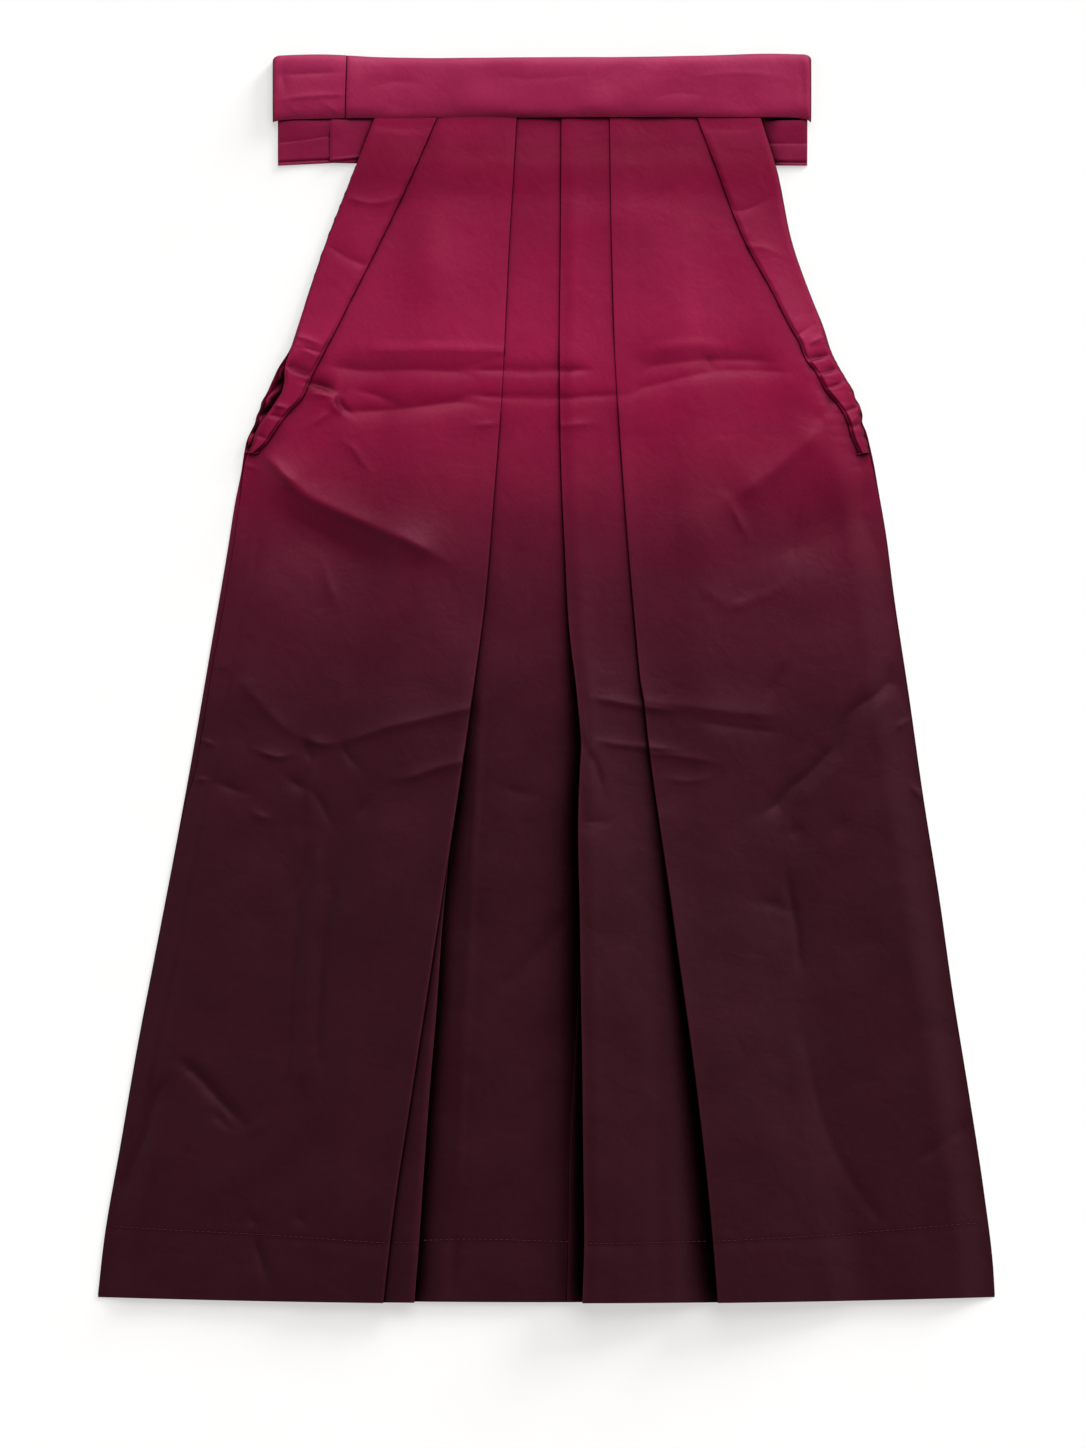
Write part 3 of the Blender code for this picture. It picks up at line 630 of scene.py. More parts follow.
def centre_rise(x, level):
    inward = 1 - smoothstep((x - 8) / 36)
    slack = 0.2 + 1.6 * smoothstep(level / 120) * inward
    rise = slack + soft_waves(x, level, 0.7) * inward + crease_height(CENTRE_CREASES, x, level)
    return floor_of(rise) + hem_fold(x, level)


CENTRE_LAYER = Layer(inner_seam, LEFT_INNER_END, centre_rise)
UNDER_BELT = 3.0
DRAW_UP = 0.17


def drawn_up(z, level):
    """A layer that stands off the table reaches a little less far down it."""
    return DRAW_UP * z * level / FRONT_LENGTH


def levels_down(coarse, fine):
    """Levels of a panel's rows, from under the belt to the hem: about `coarse` mm apart, and
    `fine` mm apart beside the opening and the crotch, where the creases are."""
    levels = [np.array([-UNDER_BELT])]
    for start, end, pitch in (
        (-UNDER_BELT, 180, coarse), (180, 345, fine), (345, 425, coarse), (425, 545, fine),
        (545, 850, coarse), (850, 874, 1.5), (874, FRONT_LENGTH, 5),
    ):
        levels.append(np.linspace(start, end, round((end - start) / pitch) + 1)[1:])
    return np.concatenate(levels)[:, None]


centre_levels = levels_down(3.4, 2.4)
centre_x = blend(LEFT_INNER_END(centre_levels), inner_seam(centre_levels), np.linspace(0, 1, 72)[None, :])
centre_z = pile_height([], centre_x, centre_levels) + centre_rise(centre_x, centre_levels + 0 * centre_x)
centre_y = place_y(centre_x, centre_levels, 2.0) + drawn_up(centre_z, centre_levels)
centre_panel = cloth_sheet("front_centre_panel_cloth", centre_x, centre_y, centre_z, PANEL_SATIN)
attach(centre_panel, "root")
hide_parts("front_centre_panel")
LEFT_PILE = [CENTRE_LAYER]
RIGHT_PILE = [CENTRE_LAYER]


# ---------------------------------------------------------------------------
# The left inner pleat
# The second pleat of the left leg: its pressed edge shows past the left panel from the
# knee down. The panel turns under at the edge and comes back as a hidden return.

LEFT_FOLD = line_through((
    (0, -22.9), (101, -28.9), (217, -34.7), (294, -40.5), (371, -47), (448, -57.1), (525, -68.2),
    (603, -80.2), (680, -92.1), (757, -104), (834, -115.8), (914, -125.3),
))
LEFT_END = line_through(((0, -63), (259, -87), (572, -136), (914, -199.5)))


def fold_spring(fold, reach, lift, spread=0.0):
    """A pleat's edge springs up, most at the fold and less with the distance from it. The raised
    part can spread towards the hem."""
    def rise(x, level):
        wide = reach + spread * smoothstep((level - 450) / 460)
        return lift(level) * np.exp(-((x - fold(level)) / wide) ** 2)
    return rise


Panel = namedtuple("Panel", "piece face")
# The painted highlight along a fold's edge: how wide it is, the level where it starts and how far it takes to
# grow in.
FOLD_HIGHLIGHT_WIDTH = 1.3
FOLD_HIGHLIGHT_START = 330.0
FOLD_HIGHLIGHT_GROWTH = 120.0


def pleated_panel(name, pile, outer, fold, inner, under, over, levels, across, short):
    """A panel whose edge is folded under: its run, the turn, and the hidden return below it.
    Both are laid on the pile."""
    side = 1 if fold(500.0) > outer(500.0) else -1
    below = list(pile)
    pile.append(Layer(fold, inner, under))
    returned = list(pile)
    pile.append(Layer(fold, outer, over))

    def return_height(x):
        return pile_height(below, x, levels) + under(x, levels + 0 * x)

    def face_height(x, level):
        return pile_height(returned, x, level) + over(x, level + 0 * x)

    start = fold(levels)
    centre = start - side * CLOTH
    for _ in range(3):
        gap = face_height(centre, levels) - return_height(centre)
        centre = start - side * (CLOTH + gap) / 2
    run_x = blend(outer(levels), centre, np.linspace(0, 1, across + 1)[None, :])
    run_z = face_height(run_x, levels)
    inner_x = blend(centre, inner(levels), np.linspace(0, 1, 9)[None, :])
    inner_z = return_height(inner_x)
    radius = (run_z[:, -1:] - inner_z[:, :1]) / 2
    angles = np.linspace(math.pi / 2, -math.pi / 2, 8)[None, 1:-1]
    turn_x = centre + side * radius * np.cos(angles)
    turn_z = inner_z[:, :1] + radius + radius * np.sin(angles)
    x = np.concatenate([run_x, turn_x, inner_x], axis=1)
    z = np.concatenate([run_z, turn_z, inner_z], axis=1)
    y = place_y(x, levels, short) + drawn_up(z, levels)
    # Points near the fold's edge get the painted highlight, growing in down the panel; the hidden return gets
    # none.
    painted_fold_highlight = np.exp(-((x - start) / FOLD_HIGHLIGHT_WIDTH) ** 2)
    painted_fold_highlight = painted_fold_highlight * smoothstep((levels - FOLD_HIGHLIGHT_START) / FOLD_HIGHLIGHT_GROWTH)
    painted_fold_highlight[:, -inner_x.shape[1]:] = 0
    return Panel(cloth_sheet(name, x, y, z, PANEL_SATIN, painted_fold_highlight=painted_fold_highlight), face_height)


LEFT_INNER_RETURN = fold_spring(
    LEFT_INNER_FOLD, 36, line_through(((0, 0.0), (350, 0.2), (450, 1.5), (550, 3.4), (650, 4.8), (914, 5.4))),
)
LEFT_INNER_EDGE = fold_spring(
    LEFT_INNER_FOLD, 14, line_through(((0, 0.0), (350, 0.1), (500, 0.5), (914, 0.7))),
)
left_inner = pleated_panel(
    "front_left_inner_pleat_cloth", LEFT_PILE, LEFT_END, LEFT_INNER_FOLD, LEFT_INNER_END,
    LEFT_INNER_RETURN,
    lambda x, v: LEFT_INNER_EDGE(x, v) + 0.4 * floor_of(soft_waves(x, v, 2.1)) + hem_fold(x, v),
    levels_down(4.0, 3.2), 18, 0.5,
)
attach(left_inner.piece, "root")
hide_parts("front_left_inner_pleat")


# ---------------------------------------------------------------------------
# The left panel
# The large outer panel of the left leg runs from the side seam to its pressed pleat
# edge. Packing has left it with soft diagonal drags and short, pinched creases.

LEFT_PANEL_EDGE = line_through((
    (0, -132.2), (37, -146.6), (101, -171.2), (153, -188.9), (180, -197.4), (193, -201.2), (205, -201.8),
    (213, -204.2), (220, -208.8), (226, -212.7), (234, -219), (243, -224), (251, -226.5), (259, -230),
    (294, -236), (333, -241.4), (387, -250.3), (426, -257.4), (481, -266.2), (512, -272.2), (522, -275.8),
    (549, -282.2), (641, -299.8), (718, -314.6), (795, -327.8), (872, -341), (914, -345.6),
))
LEFT_CREASES = (
    Crease(-2.9, 19, 12, ((-172, 191), (-142, 195), (-103, 195), (-67, 196), (-34, 195), (0, 194))),
    Crease(1.4, 4, 14, ((-142, 178), (-110, 179), (-67, 179), (-20, 181))),
    Crease(-3.5, 10, 2, ((-186, 205), (-173, 207.5), (-161, 212.5))),
    Crease(2.1, 3, 9, ((-186, 213), (-173, 214), (-162, 217))),
    Crease(2.5, 3, 6, ((-160, 213), (-165, 219), (-161, 225), (-156, 230))),
    Crease(-1.8, 3, 2, ((-157, 212), (-160, 219), (-154, 226), (-147, 231))),
    Crease(-3.0, 17, 10, ((-158, 227), (-126, 226), (-111, 225), (-87, 222), (-51, 217), (-34, 215),
                          (0, 212))),
    Crease(-1.3, 8, 7, ((-150, 209), (-132, 214), (-113, 222))),
    Crease(1.1, 3.5, 3.5, ((-182, 239), (-173, 232), (-164, 226))),
    Crease(0.9, 3, 3, ((-158, 249), (-148, 256), (-142, 266), (-135, 273))),
    Crease(0.9, 4, 4, ((-57, 238), (-37, 236))),
    Crease(4.4, 20, 11, ((-211, 264), (-193, 286), (-168, 300), (-141, 312), (-116, 323), (-90, 335),
                         (-77, 342))),
    Crease(2.0, 8, 5, ((-219, 257), (-203, 275), (-185, 288))),
    Crease(-4.7, 19, 42, ((-221, 285), (-205, 304), (-186, 318), (-165, 329), (-140, 341),
                          (-115, 349), (-92, 354))),
    Crease(1.0, 3, 3, ((-236, 266), (-222, 272))),
    Crease(1.0, 6, 6, ((-173, 341), (-161, 380))),
    Crease(1.2, 14, 8, ((-242, 429), (-222, 450), (-203, 469), (-191, 477))),
    Crease(1.4, 8, 4, ((-191, 476), (-183, 480), (-176, 483), (-159, 482))),
    Crease(1.5, 10, 5, ((-159, 482), (-145, 478), (-123, 471), (-97, 465), (-59, 456), (-30, 449))),
    Crease(1.5, 9, 5, ((-116, 511), (-101, 508), (-88, 503), (-65, 497), (-40, 490))),
    Crease(-1.4, 3, 5, ((-159, 481), (-150, 495), (-141, 506))),
    Crease(-1.8, 6, 6, ((-188, 477), (-183, 488), (-178, 503))),
    Crease(1.3, 6, 2.5, ((-225, 488), (-215, 492), (-203, 494), (-195, 491))),
    Crease(1.3, 4, 4, ((-178, 482), (-180, 508), (-182, 520), (-183, 542))),
    Crease(-1.4, 8, 8, ((-203, 508), (-192, 515), (-181, 521))),
    Crease(-1.3, 4, 4, ((-180, 518), (-169, 538), (-164, 551))),
    Crease(-1.1, 7, 7, ((-135, 525), (-149, 544))),
    Crease(-1.4, 8, 9, ((-259, 512), (-244, 518), (-229, 523))),
    Crease(0.9, 5, 5, ((-229, 533), (-222, 539), (-209, 542))),
    Crease(1.7, 8, 9, ((-176, 560), (-177, 587), (-181, 626), (-185, 680), (-187, 724), (-189, 751))),
    Crease(-1.3, 6, 4, ((-185, 560), (-186, 579), (-191, 593), (-191, 626), (-194, 660), (-197, 724),
                        (-201, 758))),
    Crease(-1.4, 6, 5, ((-166, 586), (-165, 603), (-171, 633), (-175, 683), (-175, 714), (-172, 740))),
    Crease(-2.4, 7, 7, ((-286, 729), (-276, 734), (-267, 742), (-256, 754), (-243, 768), (-233, 778))),
    Crease(-1.3, 3, 3, ((-260, 771), (-255, 771), (-247, 778), (-240, 781))),
    Crease(-1.9, 9, 7, ((-290, 740), (-300, 758), (-312, 794), (-322, 820), (-328, 836))),
    Crease(0.9, 6, 6, ((-237, 788), (-211, 774))),
    Crease(-0.9, 5, 5, ((-193, 845), (-185, 856))),
    Crease(-0.9, 4, 4, ((-229, 845), (-223, 859))),
    Crease(-2.1, 3.5, 5, ((-225, 863), (-219, 881), (-213, 902))),
    Crease(1.0, 2, 2.5, ((-256, 423), (-245, 425))),
    Crease(1.1, 2, 3, ((-268, 480), (-255, 485))),
    Crease(1.1, 2, 3, ((-273, 511), (-259, 512))),
)
PANEL_SLACK = 4.7
LEFT_RETURN = fold_spring(LEFT_FOLD, 30, line_through(((0, 0.0), (300, 0.1), (450, 0.6), (914, 0.5))))
LEFT_EDGE = fold_spring(LEFT_FOLD, 9, line_through(((0, 0.05), (300, 0.2), (450, 0.7), (914, 0.6))))


def outer_slack(from_side, from_fold, level):
    """How freely an outer panel lies: held at its side, its fold and the belt, slack between them."""
    inward = smoothstep(from_side / 30) * blend(0.12, 1.0, smoothstep(from_fold / 60))
    return inward, PANEL_SLACK * inward * smoothstep((level - 40) / 130)


def side_seam_ridge(x, level, edge):
    """Inside the side seam the turned-in cloth lifts the panel a little, as far as its own edge."""
    inside = np.abs(x - edge(level))
    width = 14.5 + 1.2 * np.sin(level / 43) + 0.5 * np.sin(level / 11)
    length = smoothstep((level - 300) / 40) * (1 - smoothstep((level - 760) / 90))
    return 0.9 * length * (1 - smoothstep((inside - width) / 2.2)) * smoothstep(inside / 5)


def left_rise(x, level):
    beside = x - LEFT_PANEL_EDGE(level)
    gaping = 3.0 * smoothstep((level - 166) / 22) * smoothstep((OPENING_FOOT - 2 - level) / 30)
    gaping = gaping * np.exp(-np.maximum(beside, 0) / 13)
    inward, slack = outer_slack(beside, LEFT_FOLD(level) - x, level)
    marks = crease_height(LEFT_CREASES, x, level) + soft_waves(x, level, 0.0) * inward
    settled = floor_of(slack + marks + 0.05)
    edges = side_seam_ridge(x, level, LEFT_PANEL_EDGE) + LEFT_EDGE(x, level)
    return settled + gaping + edges + hem_fold(x, level)


left_panel = pleated_panel(
    "front_left_panel_cloth", LEFT_PILE, LEFT_PANEL_EDGE, LEFT_FOLD, LEFT_END, LEFT_RETURN, left_rise,
    levels_down(3.1, 1.35), 100, 0.0,
)
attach(left_panel.piece, "root")
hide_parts("front_left_panel")


# ---------------------------------------------------------------------------
# The inner pleat of the centre
# Under the centre pleat another fold faces the same way. Its return is the inner wall
# of the right leg, and below the crotch it comes down onto the back.

CENTRE_INNER_FOLD = line_through((
    (0, 19.7), (333, 22), (448, 28.1), (572, 28.1), (640, 26.5), (680, 24.3), (711, 22.7), (818, 17.2),
    (866, 16.8), (914, 15.8),
))
CENTRE_PLEAT_END = line_through(((0, 51), (259, 57), (572, 77), (914, 87.4)))


def wall_end(level):
    """The inner wall of the right leg ends at the seam, and laps past it below the crotch."""
    return inner_seam(level) + 12 * smoothstep((level - CROTCH) / 30)


centre_inner = pleated_panel(
    "front_centre_inner_pleat_cloth", RIGHT_PILE, CENTRE_PLEAT_END, CENTRE_INNER_FOLD, wall_end,
    fold_spring(CENTRE_INNER_FOLD, 32, line_through(((0, 0.0), (450, 0.1), (914, 0.3)))),
    lambda x, v: 0.05 + 0.15 * np.exp(-((x - CENTRE_INNER_FOLD(v)) / 12) ** 2) + hem_fold(x, v),
    levels_down(5.0, 5.0), 14, 2.0,
)
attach(centre_inner.piece, "root")
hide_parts("front_centre_inner_pleat")


# ---------------------------------------------------------------------------
# The centre pleat
# One deep pleat stands beside the middle of the front. Its pressed edge lifts well off
# the centre panel from the thigh down, so a dark gap shows along it.

RIGHT_FOLD = line_through((
    (0, 48.4), (101, 50.1), (178, 52.4), (256, 57.1), (333, 62.8), (402, 68.9), (435, 72.1), (452, 74.7),
    (487, 78.6), (527, 84), (564, 89.4), (602, 94.9), (641, 100.2), (718, 111), (795, 120.3),
    (856, 126.4), (914, 131.1),
))
RIGHT_END = line_through(((0, 88), (259, 108), (572, 154), (914, 209)))
CENTRE_PLEAT_CREASES = (
    Crease(-1.3, 4, 4, ((-10, 198), (10, 198), (23, 195), (35, 195))),
    Crease(-1.1, 4, 4, ((-10, 217), (11, 217), (35, 215), (60, 214))),
    Crease(1.0, 5, 4, ((-10, 238), (12, 238), (38, 236))),
    Crease(1.4, 7, 3, ((34, 448), (52, 451), (75, 455), (100, 458))),
    Crease(1.2, 6, 3, ((37, 481), (55, 484), (77, 486), (100, 488))),
    Crease(-1.3, 3, 3, ((27, 481), (30, 485), (37, 498), (44, 525))),
    Crease(1.1, 3, 3, ((39, 481), (34, 491), (36, 498))),
    Crease(-0.9, 7, 7, ((20, 544), (51, 544))),
    Crease(1.0, 4, 4, ((29, 453), (28, 471), (30, 485))),
)
CENTRE_PLEAT_RETURN = fold_spring(
    CENTRE_PLEAT_FOLD, 34,
    line_through(((0, 0.0), (250, 0.3), (380, 1.6), (450, 4.5), (540, 8.5), (700, 10.5), (914, 11.0))),
    spread=60,
)
CENTRE_PLEAT_EDGE = fold_spring(
    CENTRE_PLEAT_FOLD, 12, line_through(((0, 0.05), (300, 0.2), (450, 0.8), (914, 1.0))),
)


def centre_pleat_rise(x, level):
    beside = smoothstep((x - CENTRE_PLEAT_FOLD(level)) / 12) * smoothstep((RIGHT_FOLD(level) + 90 - x) / 90)
    slack = 0.1 + 1.7 * beside * smoothstep(level / 90)
    marks = crease_height(CENTRE_PLEAT_CREASES, x, level) + soft_waves(x, level, 4.4)
    return floor_of(slack + marks) + CENTRE_PLEAT_EDGE(x, level) + hem_fold(x, level)


centre_pleat = pleated_panel(
    "front_centre_pleat_cloth", RIGHT_PILE, RIGHT_END, CENTRE_PLEAT_FOLD, CENTRE_PLEAT_END,
    CENTRE_PLEAT_RETURN, centre_pleat_rise, levels_down(3.2, 1.6), 62, 0.5,
)
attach(centre_pleat.piece, "root")
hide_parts("front_centre_pleat")


# ---------------------------------------------------------------------------
# The right panel
# The outer panel of the right leg matches the left one. A deep drag runs down it from
# the side, and its pressed edge stands off the centre pleat towards the hem.

RIGHT_SIDE_LINE = line_through((
    (0, 164.6), (37, 176.2), (101, 190.1), (133, 201.6), (163, 213), (183, 219.6), (193, 224.6), (205, 232),
    (211, 235.2), (217, 237), (222, 240), (235, 241.6), (259, 248.4), (290, 255.4), (318, 260.2),
    (371, 267.1), (448, 278.6), (525, 289.5), (603, 301.8), (680, 312.7), (757, 325.1), (834, 336.8),
    (892, 344), (914, 345.4),
))
SCALLOP_PITCH = 8.8


def right_panel_edge(level):
    """The panel's side. Along the opening its stitches pull it into small scallops."""
    beside_opening = smoothstep((level - 150) / 40) * smoothstep((OPENING_FOOT - level) / 3)
    return RIGHT_SIDE_LINE(level) + 1.1 * beside_opening * np.abs(np.sin(math.pi * level / SCALLOP_PITCH))


RIGHT_CREASES = (
    Crease(-2.3, 18, 11, ((20, 197), (54, 195), (74, 193), (94, 190), (111, 188), (134, 187),
                          (157, 187), (178, 189))),
    Crease(1.2, 4, 12, ((78, 180), (95, 177), (115, 175), (140, 177))),
    Crease(-1.5, 12, 7, ((20, 216), (55, 213), (77, 208), (102, 202), (114, 199), (131, 196),
                         (154, 195), (189, 197))),
    Crease(-1.3, 5, 5, ((120, 184), (126, 190), (124, 198))),
    Crease(-1.5, 7, 7, ((201, 203), (214, 211), (219, 222), (211, 232))),
    Crease(4.6, 20, 18, ((216, 236), (194, 256), (178, 270), (161, 283), (141, 296))),
    Crease(-5.0, 32, 46, ((258, 282), (240, 299), (214, 317), (184, 331), (154, 339))),
    Crease(-1.3, 3, 3, ((236, 270), (254, 265))),
    Crease(1.3, 5, 4, ((141, 296), (149, 313), (155, 324))),
    Crease(-0.9, 4, 4, ((194, 302), (191, 325), (188, 345))),
    Crease(0.6, 5, 4, ((116, 361), (128, 369), (144, 379), (154, 375), (172, 367), (189, 356))),
    Crease(0.8, 3, 1.5, ((140, 372), (147, 377), (158, 371))),
    Crease(1.1, 14, 7, ((40, 446), (73, 450), (112, 455), (138, 458), (167, 461), (180, 462))),
    Crease(-0.9, 8, 11, ((114, 465), (147, 471), (182, 475))),
    Crease(-1.3, 4, 4, ((188, 417), (176, 437), (168, 451))),
    Crease(0.9, 6, 4, ((50, 489), (78, 491), (98, 492), (116, 495), (132, 498))),
    Crease(0.7, 5, 5, ((88, 509), (111, 512), (128, 509))),
    Crease(-2.6, 13, 9, ((272, 421), (253, 446), (236, 458), (227, 471), (223, 484), (211, 497), (199, 509),
                        (185, 520), (178, 529), (165, 538))),
    Crease(0.7, 14, 12, ((274, 436), (251, 462), (239, 480), (225, 501), (205, 519), (188, 532))),
    Crease(-0.9, 5, 5, ((199, 548), (185, 553))),
    Crease(-1.1, 9, 9, ((236, 539), (218, 555))),
    Crease(1.0, 3, 3, ((268, 474), (281, 464))),
    Crease(1.0, 3, 3, ((280, 515), (291, 529))),
    Crease(-1.5, 6, 5, ((184, 580), (188, 605), (192, 625), (195, 660))),
    Crease(-0.8, 8, 7, ((196, 700), (206, 750), (219, 793), (240, 830), (260, 856))),
    Crease(-1.1, 5, 5, ((157, 604), (172, 607), (190, 613))),
    Crease(-1.3, 9, 9, ((284, 808), (306, 793), (330, 774))),
)
RIGHT_RETURN = fold_spring(
    RIGHT_FOLD, 36,
    line_through(((0, 0.0), (300, 0.3), (450, 1.2), (560, 3.0), (650, 6.0), (750, 9.0), (914, 10.8))),
    spread=50,
)
RIGHT_EDGE = fold_spring(RIGHT_FOLD, 18, line_through(((0, 0.05), (300, 0.1), (450, 0.3), (914, 0.8))))


def right_rise(x, level):
    inward, slack = outer_slack(right_panel_edge(level) - x, x - RIGHT_FOLD(level), level)
    marks = crease_height(RIGHT_CREASES, x, level) + soft_waves(x, level, 1.3) * inward
    settled = floor_of(slack + marks + 0.05)
    return settled + RIGHT_EDGE(x, level) + hem_fold(x, level)


right_panel = pleated_panel(
    "front_right_panel_cloth", RIGHT_PILE, right_panel_edge, RIGHT_FOLD, RIGHT_END, RIGHT_RETURN,
    right_rise, levels_down(3.1, 1.35), 100, 0.0,
)
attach(right_panel.piece, "root")
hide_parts("front_right_panel")


# ---------------------------------------------------------------------------
# The front's side strips
# Along each side opening the front's edge is folded over onto its face as a flat strip,
# stitched down inside. It narrows to the bar tack that closes the top of the side seam.

LEFT_STRIP_LINE = line_through((
    (0, -84.4), (37, -100.4), (101, -130.7), (153, -156.8), (163, -161.6), (176, -168.6), (190, -175.7),
    (199, -180.5), (209, -184.4), (218, -189.1), (226, -197), (235, -204.1), (245, -211.1), (253, -216.9),
    (259, -224),
))
RIGHT_STRIP_LINE = line_through((
    (0, 116), (37, 130.2), (101, 155.4), (133, 173.1), (163, 188.4), (173, 194.3), (186, 199.3), (196, 206.9),
    (212, 216), (223, 225.2), (233, 231), (247, 235.2), (259, 240.6),
))
STRIP_SLACK = 2.2
LEFT_STRIP_CREASES = (
    Crease(-3.2, 9, 1.2, ((-206, 188), (-198, 193), (-190, 197), (-181, 200), (-172, 202))),
    Crease(1.2, 6, 4, ((-198, 174), (-186, 179), (-176, 186))),
    Crease(-1.2, 4, 2, ((-198, 176), (-184, 179), (-168, 183))),
    Crease(1.2, 4, 3, ((-200, 167), (-188, 170), (-172, 176))),
    Crease(1.2, 3, 2, ((-214, 221), (-197, 225))),
    Crease(-1.5, 4, 2, ((-218, 229), (-203, 232), (-194, 238))),
    Crease(-1.0, 3, 2, ((-226, 244), (-212, 249))),
    Crease(-1.0, 7, 5, ((-172, 96), (-150, 110), (-128, 118))),
    Crease(-0.8, 5, 3, ((-134, 6), (-110, 8), (-86, 6))),
    Crease(0.8, 5, 5, ((-160, 60), (-130, 66), (-108, 60))),
)
RIGHT_STRIP_CREASES = (
    Crease(-2.6, 8, 1.2, ((194, 190), (201, 188), (211, 185), (219, 183))),
    Crease(-2.2, 6, 1.2, ((202, 200), (210, 198), (218, 196), (227, 193))),
    Crease(-1.8, 4, 1.2, ((213, 209), (220, 208), (228, 204))),
    Crease(1.2, 3, 3, ((201, 176), (214, 168))),
    Crease(-1.6, 4, 2, ((219, 232), (232, 226), (244, 222))),
    Crease(-1.2, 4, 2, ((228, 243), (238, 238), (248, 232))),
    Crease(-1.0, 4, 3, ((178, 176), (190, 170), (205, 160))),
    Crease(0.8, 3, 3, ((230, 240), (240, 230))),
    Crease(-0.8, 6, 6, ((124, 66), (150, 72), (172, 62))),
    Crease(-0.8, 5, 3, ((112, 5), (140, 8), (166, 6))),
    Crease(0.6, 5, 5, ((140, 104), (164, 100), (184, 108))),
)


def front_side_strip(name, edge, line, face, creases, phase):
    levels = np.linspace(0.3, OPENING_FOOT, 330)[:, None]
    x = blend(edge(levels), line(levels), np.linspace(0, 1, 27)[None, :])
    inside = np.abs(x - line(levels))
    outside = np.abs(x - edge(levels))
    stitches = 0.5 + 0.5 * np.sin(levels / 2.4 + 1.6 * np.sin(levels / 7.0) + phase)
    pull = 0.25 * stitches * np.exp(-(inside / 3.5) ** 2)
    rounded = smoothstep(inside / 1.6) * smoothstep(outside / 1.8)
    marks = crease_height(creases, x, levels + 0 * x) + 0.5 * soft_waves(x, levels, phase)
    slack = blend(0.9, STRIP_SLACK, smoothstep((levels - 150) / 30)) * smoothstep((levels + 6) / 40)
    slack = slack * smoothstep(inside / 3.2) * smoothstep(outside / 3)
    z = face(x, levels) + LIE + 0.5 + 0.25 * rounded + floor_of(slack + rounded * marks) + pull
    return cloth_sheet(name, x, place_y(x, levels, 0.0), z, PANEL_SATIN)


for name, node, edge, line, panel, creases, phase in (
    ("front_left_strip_cloth", "front_left_side_strip", LEFT_PANEL_EDGE, LEFT_STRIP_LINE,
     left_panel, LEFT_STRIP_CREASES, 0.0),
    ("front_right_strip_cloth", "front_right_side_strip", right_panel_edge, RIGHT_STRIP_LINE,
     right_panel, RIGHT_STRIP_CREASES, 2.2),
):
    strip = front_side_strip(name, edge, line, panel.face, creases, phase)
    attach(strip, "root")
    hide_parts(node)


# ---------------------------------------------------------------------------
# The front belt and its tie
# A folded band of the same satin, plain crimson, covers the tops of the pleats and runs
# on past them as the tie, folded to and fro behind it. The pleats swell its middle.

BELT_WIDTH = 47.4
BELT_LEFT = -210.9
BELT_RIGHT = 203.9
BELT_SEAM = -154.6
BELT_HEIGHT = 8.0
BELT_SWELL = 2.0
SWELL_FADE = 75.0
PLEATS_LEFT = -20.0
PLEATS_RIGHT = 88.0
BELT_ROLL = 2.2
BELT_FLOOR = 0.6
BELT_CORNER = (6.0, 5.0)
BELT_HEADS = line_through((
    (-211, 47.2), (-172, 48.1), (-128, 46.1), (0, 45.6), (118, 46.8), (176, 48.7), (204, 48.0),
))
BELT_FEET = line_through((
    (-211, 3.6), (-205, 2.2), (-196, 1.4), (-184, 1.0), (-155, 0.5), (-120, 0.2), (0, 0.0), (150, -0.2),
    (180, -0.2), (190, 0.0), (197, 0.8), (200.6, 1.6), (202.3, 2.8), (204, 4.0),
))
SEAM_SLANT = 1.4
BELT_CREASES = (
    Crease(-0.8, 4, 3, ((-205, -33), (-185, -33), (-157, -34))),
    Crease(0.8, 4, 2, ((-207, -14), (-180, -16), (-150, -17))),
    Crease(-1.0, 5, 5, ((-201, -46), (-203, -30), (-200, -18))),
    Crease(0.6, 3, 2, ((-174, -13), (-158, -2))),
    Crease(0.5, 3, 2, ((-198, -10), (-188, -2))),
    Crease(-0.4, 5, 4, ((-140, -20), (-118, -28), (-92, -26))),
    Crease(-0.5, 7, 6, ((80, -14), (102, -18), (126, -15))),
    Crease(-0.4, 6, 6, ((-40, -32), (-10, -30), (30, -33))),
    Crease(0.4, 4, 3, ((110, -30), (140, -33), (180, -30))),
    Crease(-1.0, 3, 5, ((195, -46), (197, -25), (199, -6))),
)


def swell(x):
    """The pleats push up the belt's middle, and less and less beside them."""
    beside = np.maximum(PLEATS_LEFT - x, x - PLEATS_RIGHT)
    return 1 - smoothstep(beside / SWELL_FADE)


BELT_FOOT_HEIGHT = line_through((
    (-211, 4.6), (-150, 4.8), (-128, 5.1), (-30, 5.2), (0, 5.7), (14, 6.5), (88, 6.8), (104, 6.2), (130, 5.6),
    (165, 5.2), (204, 4.6),
))


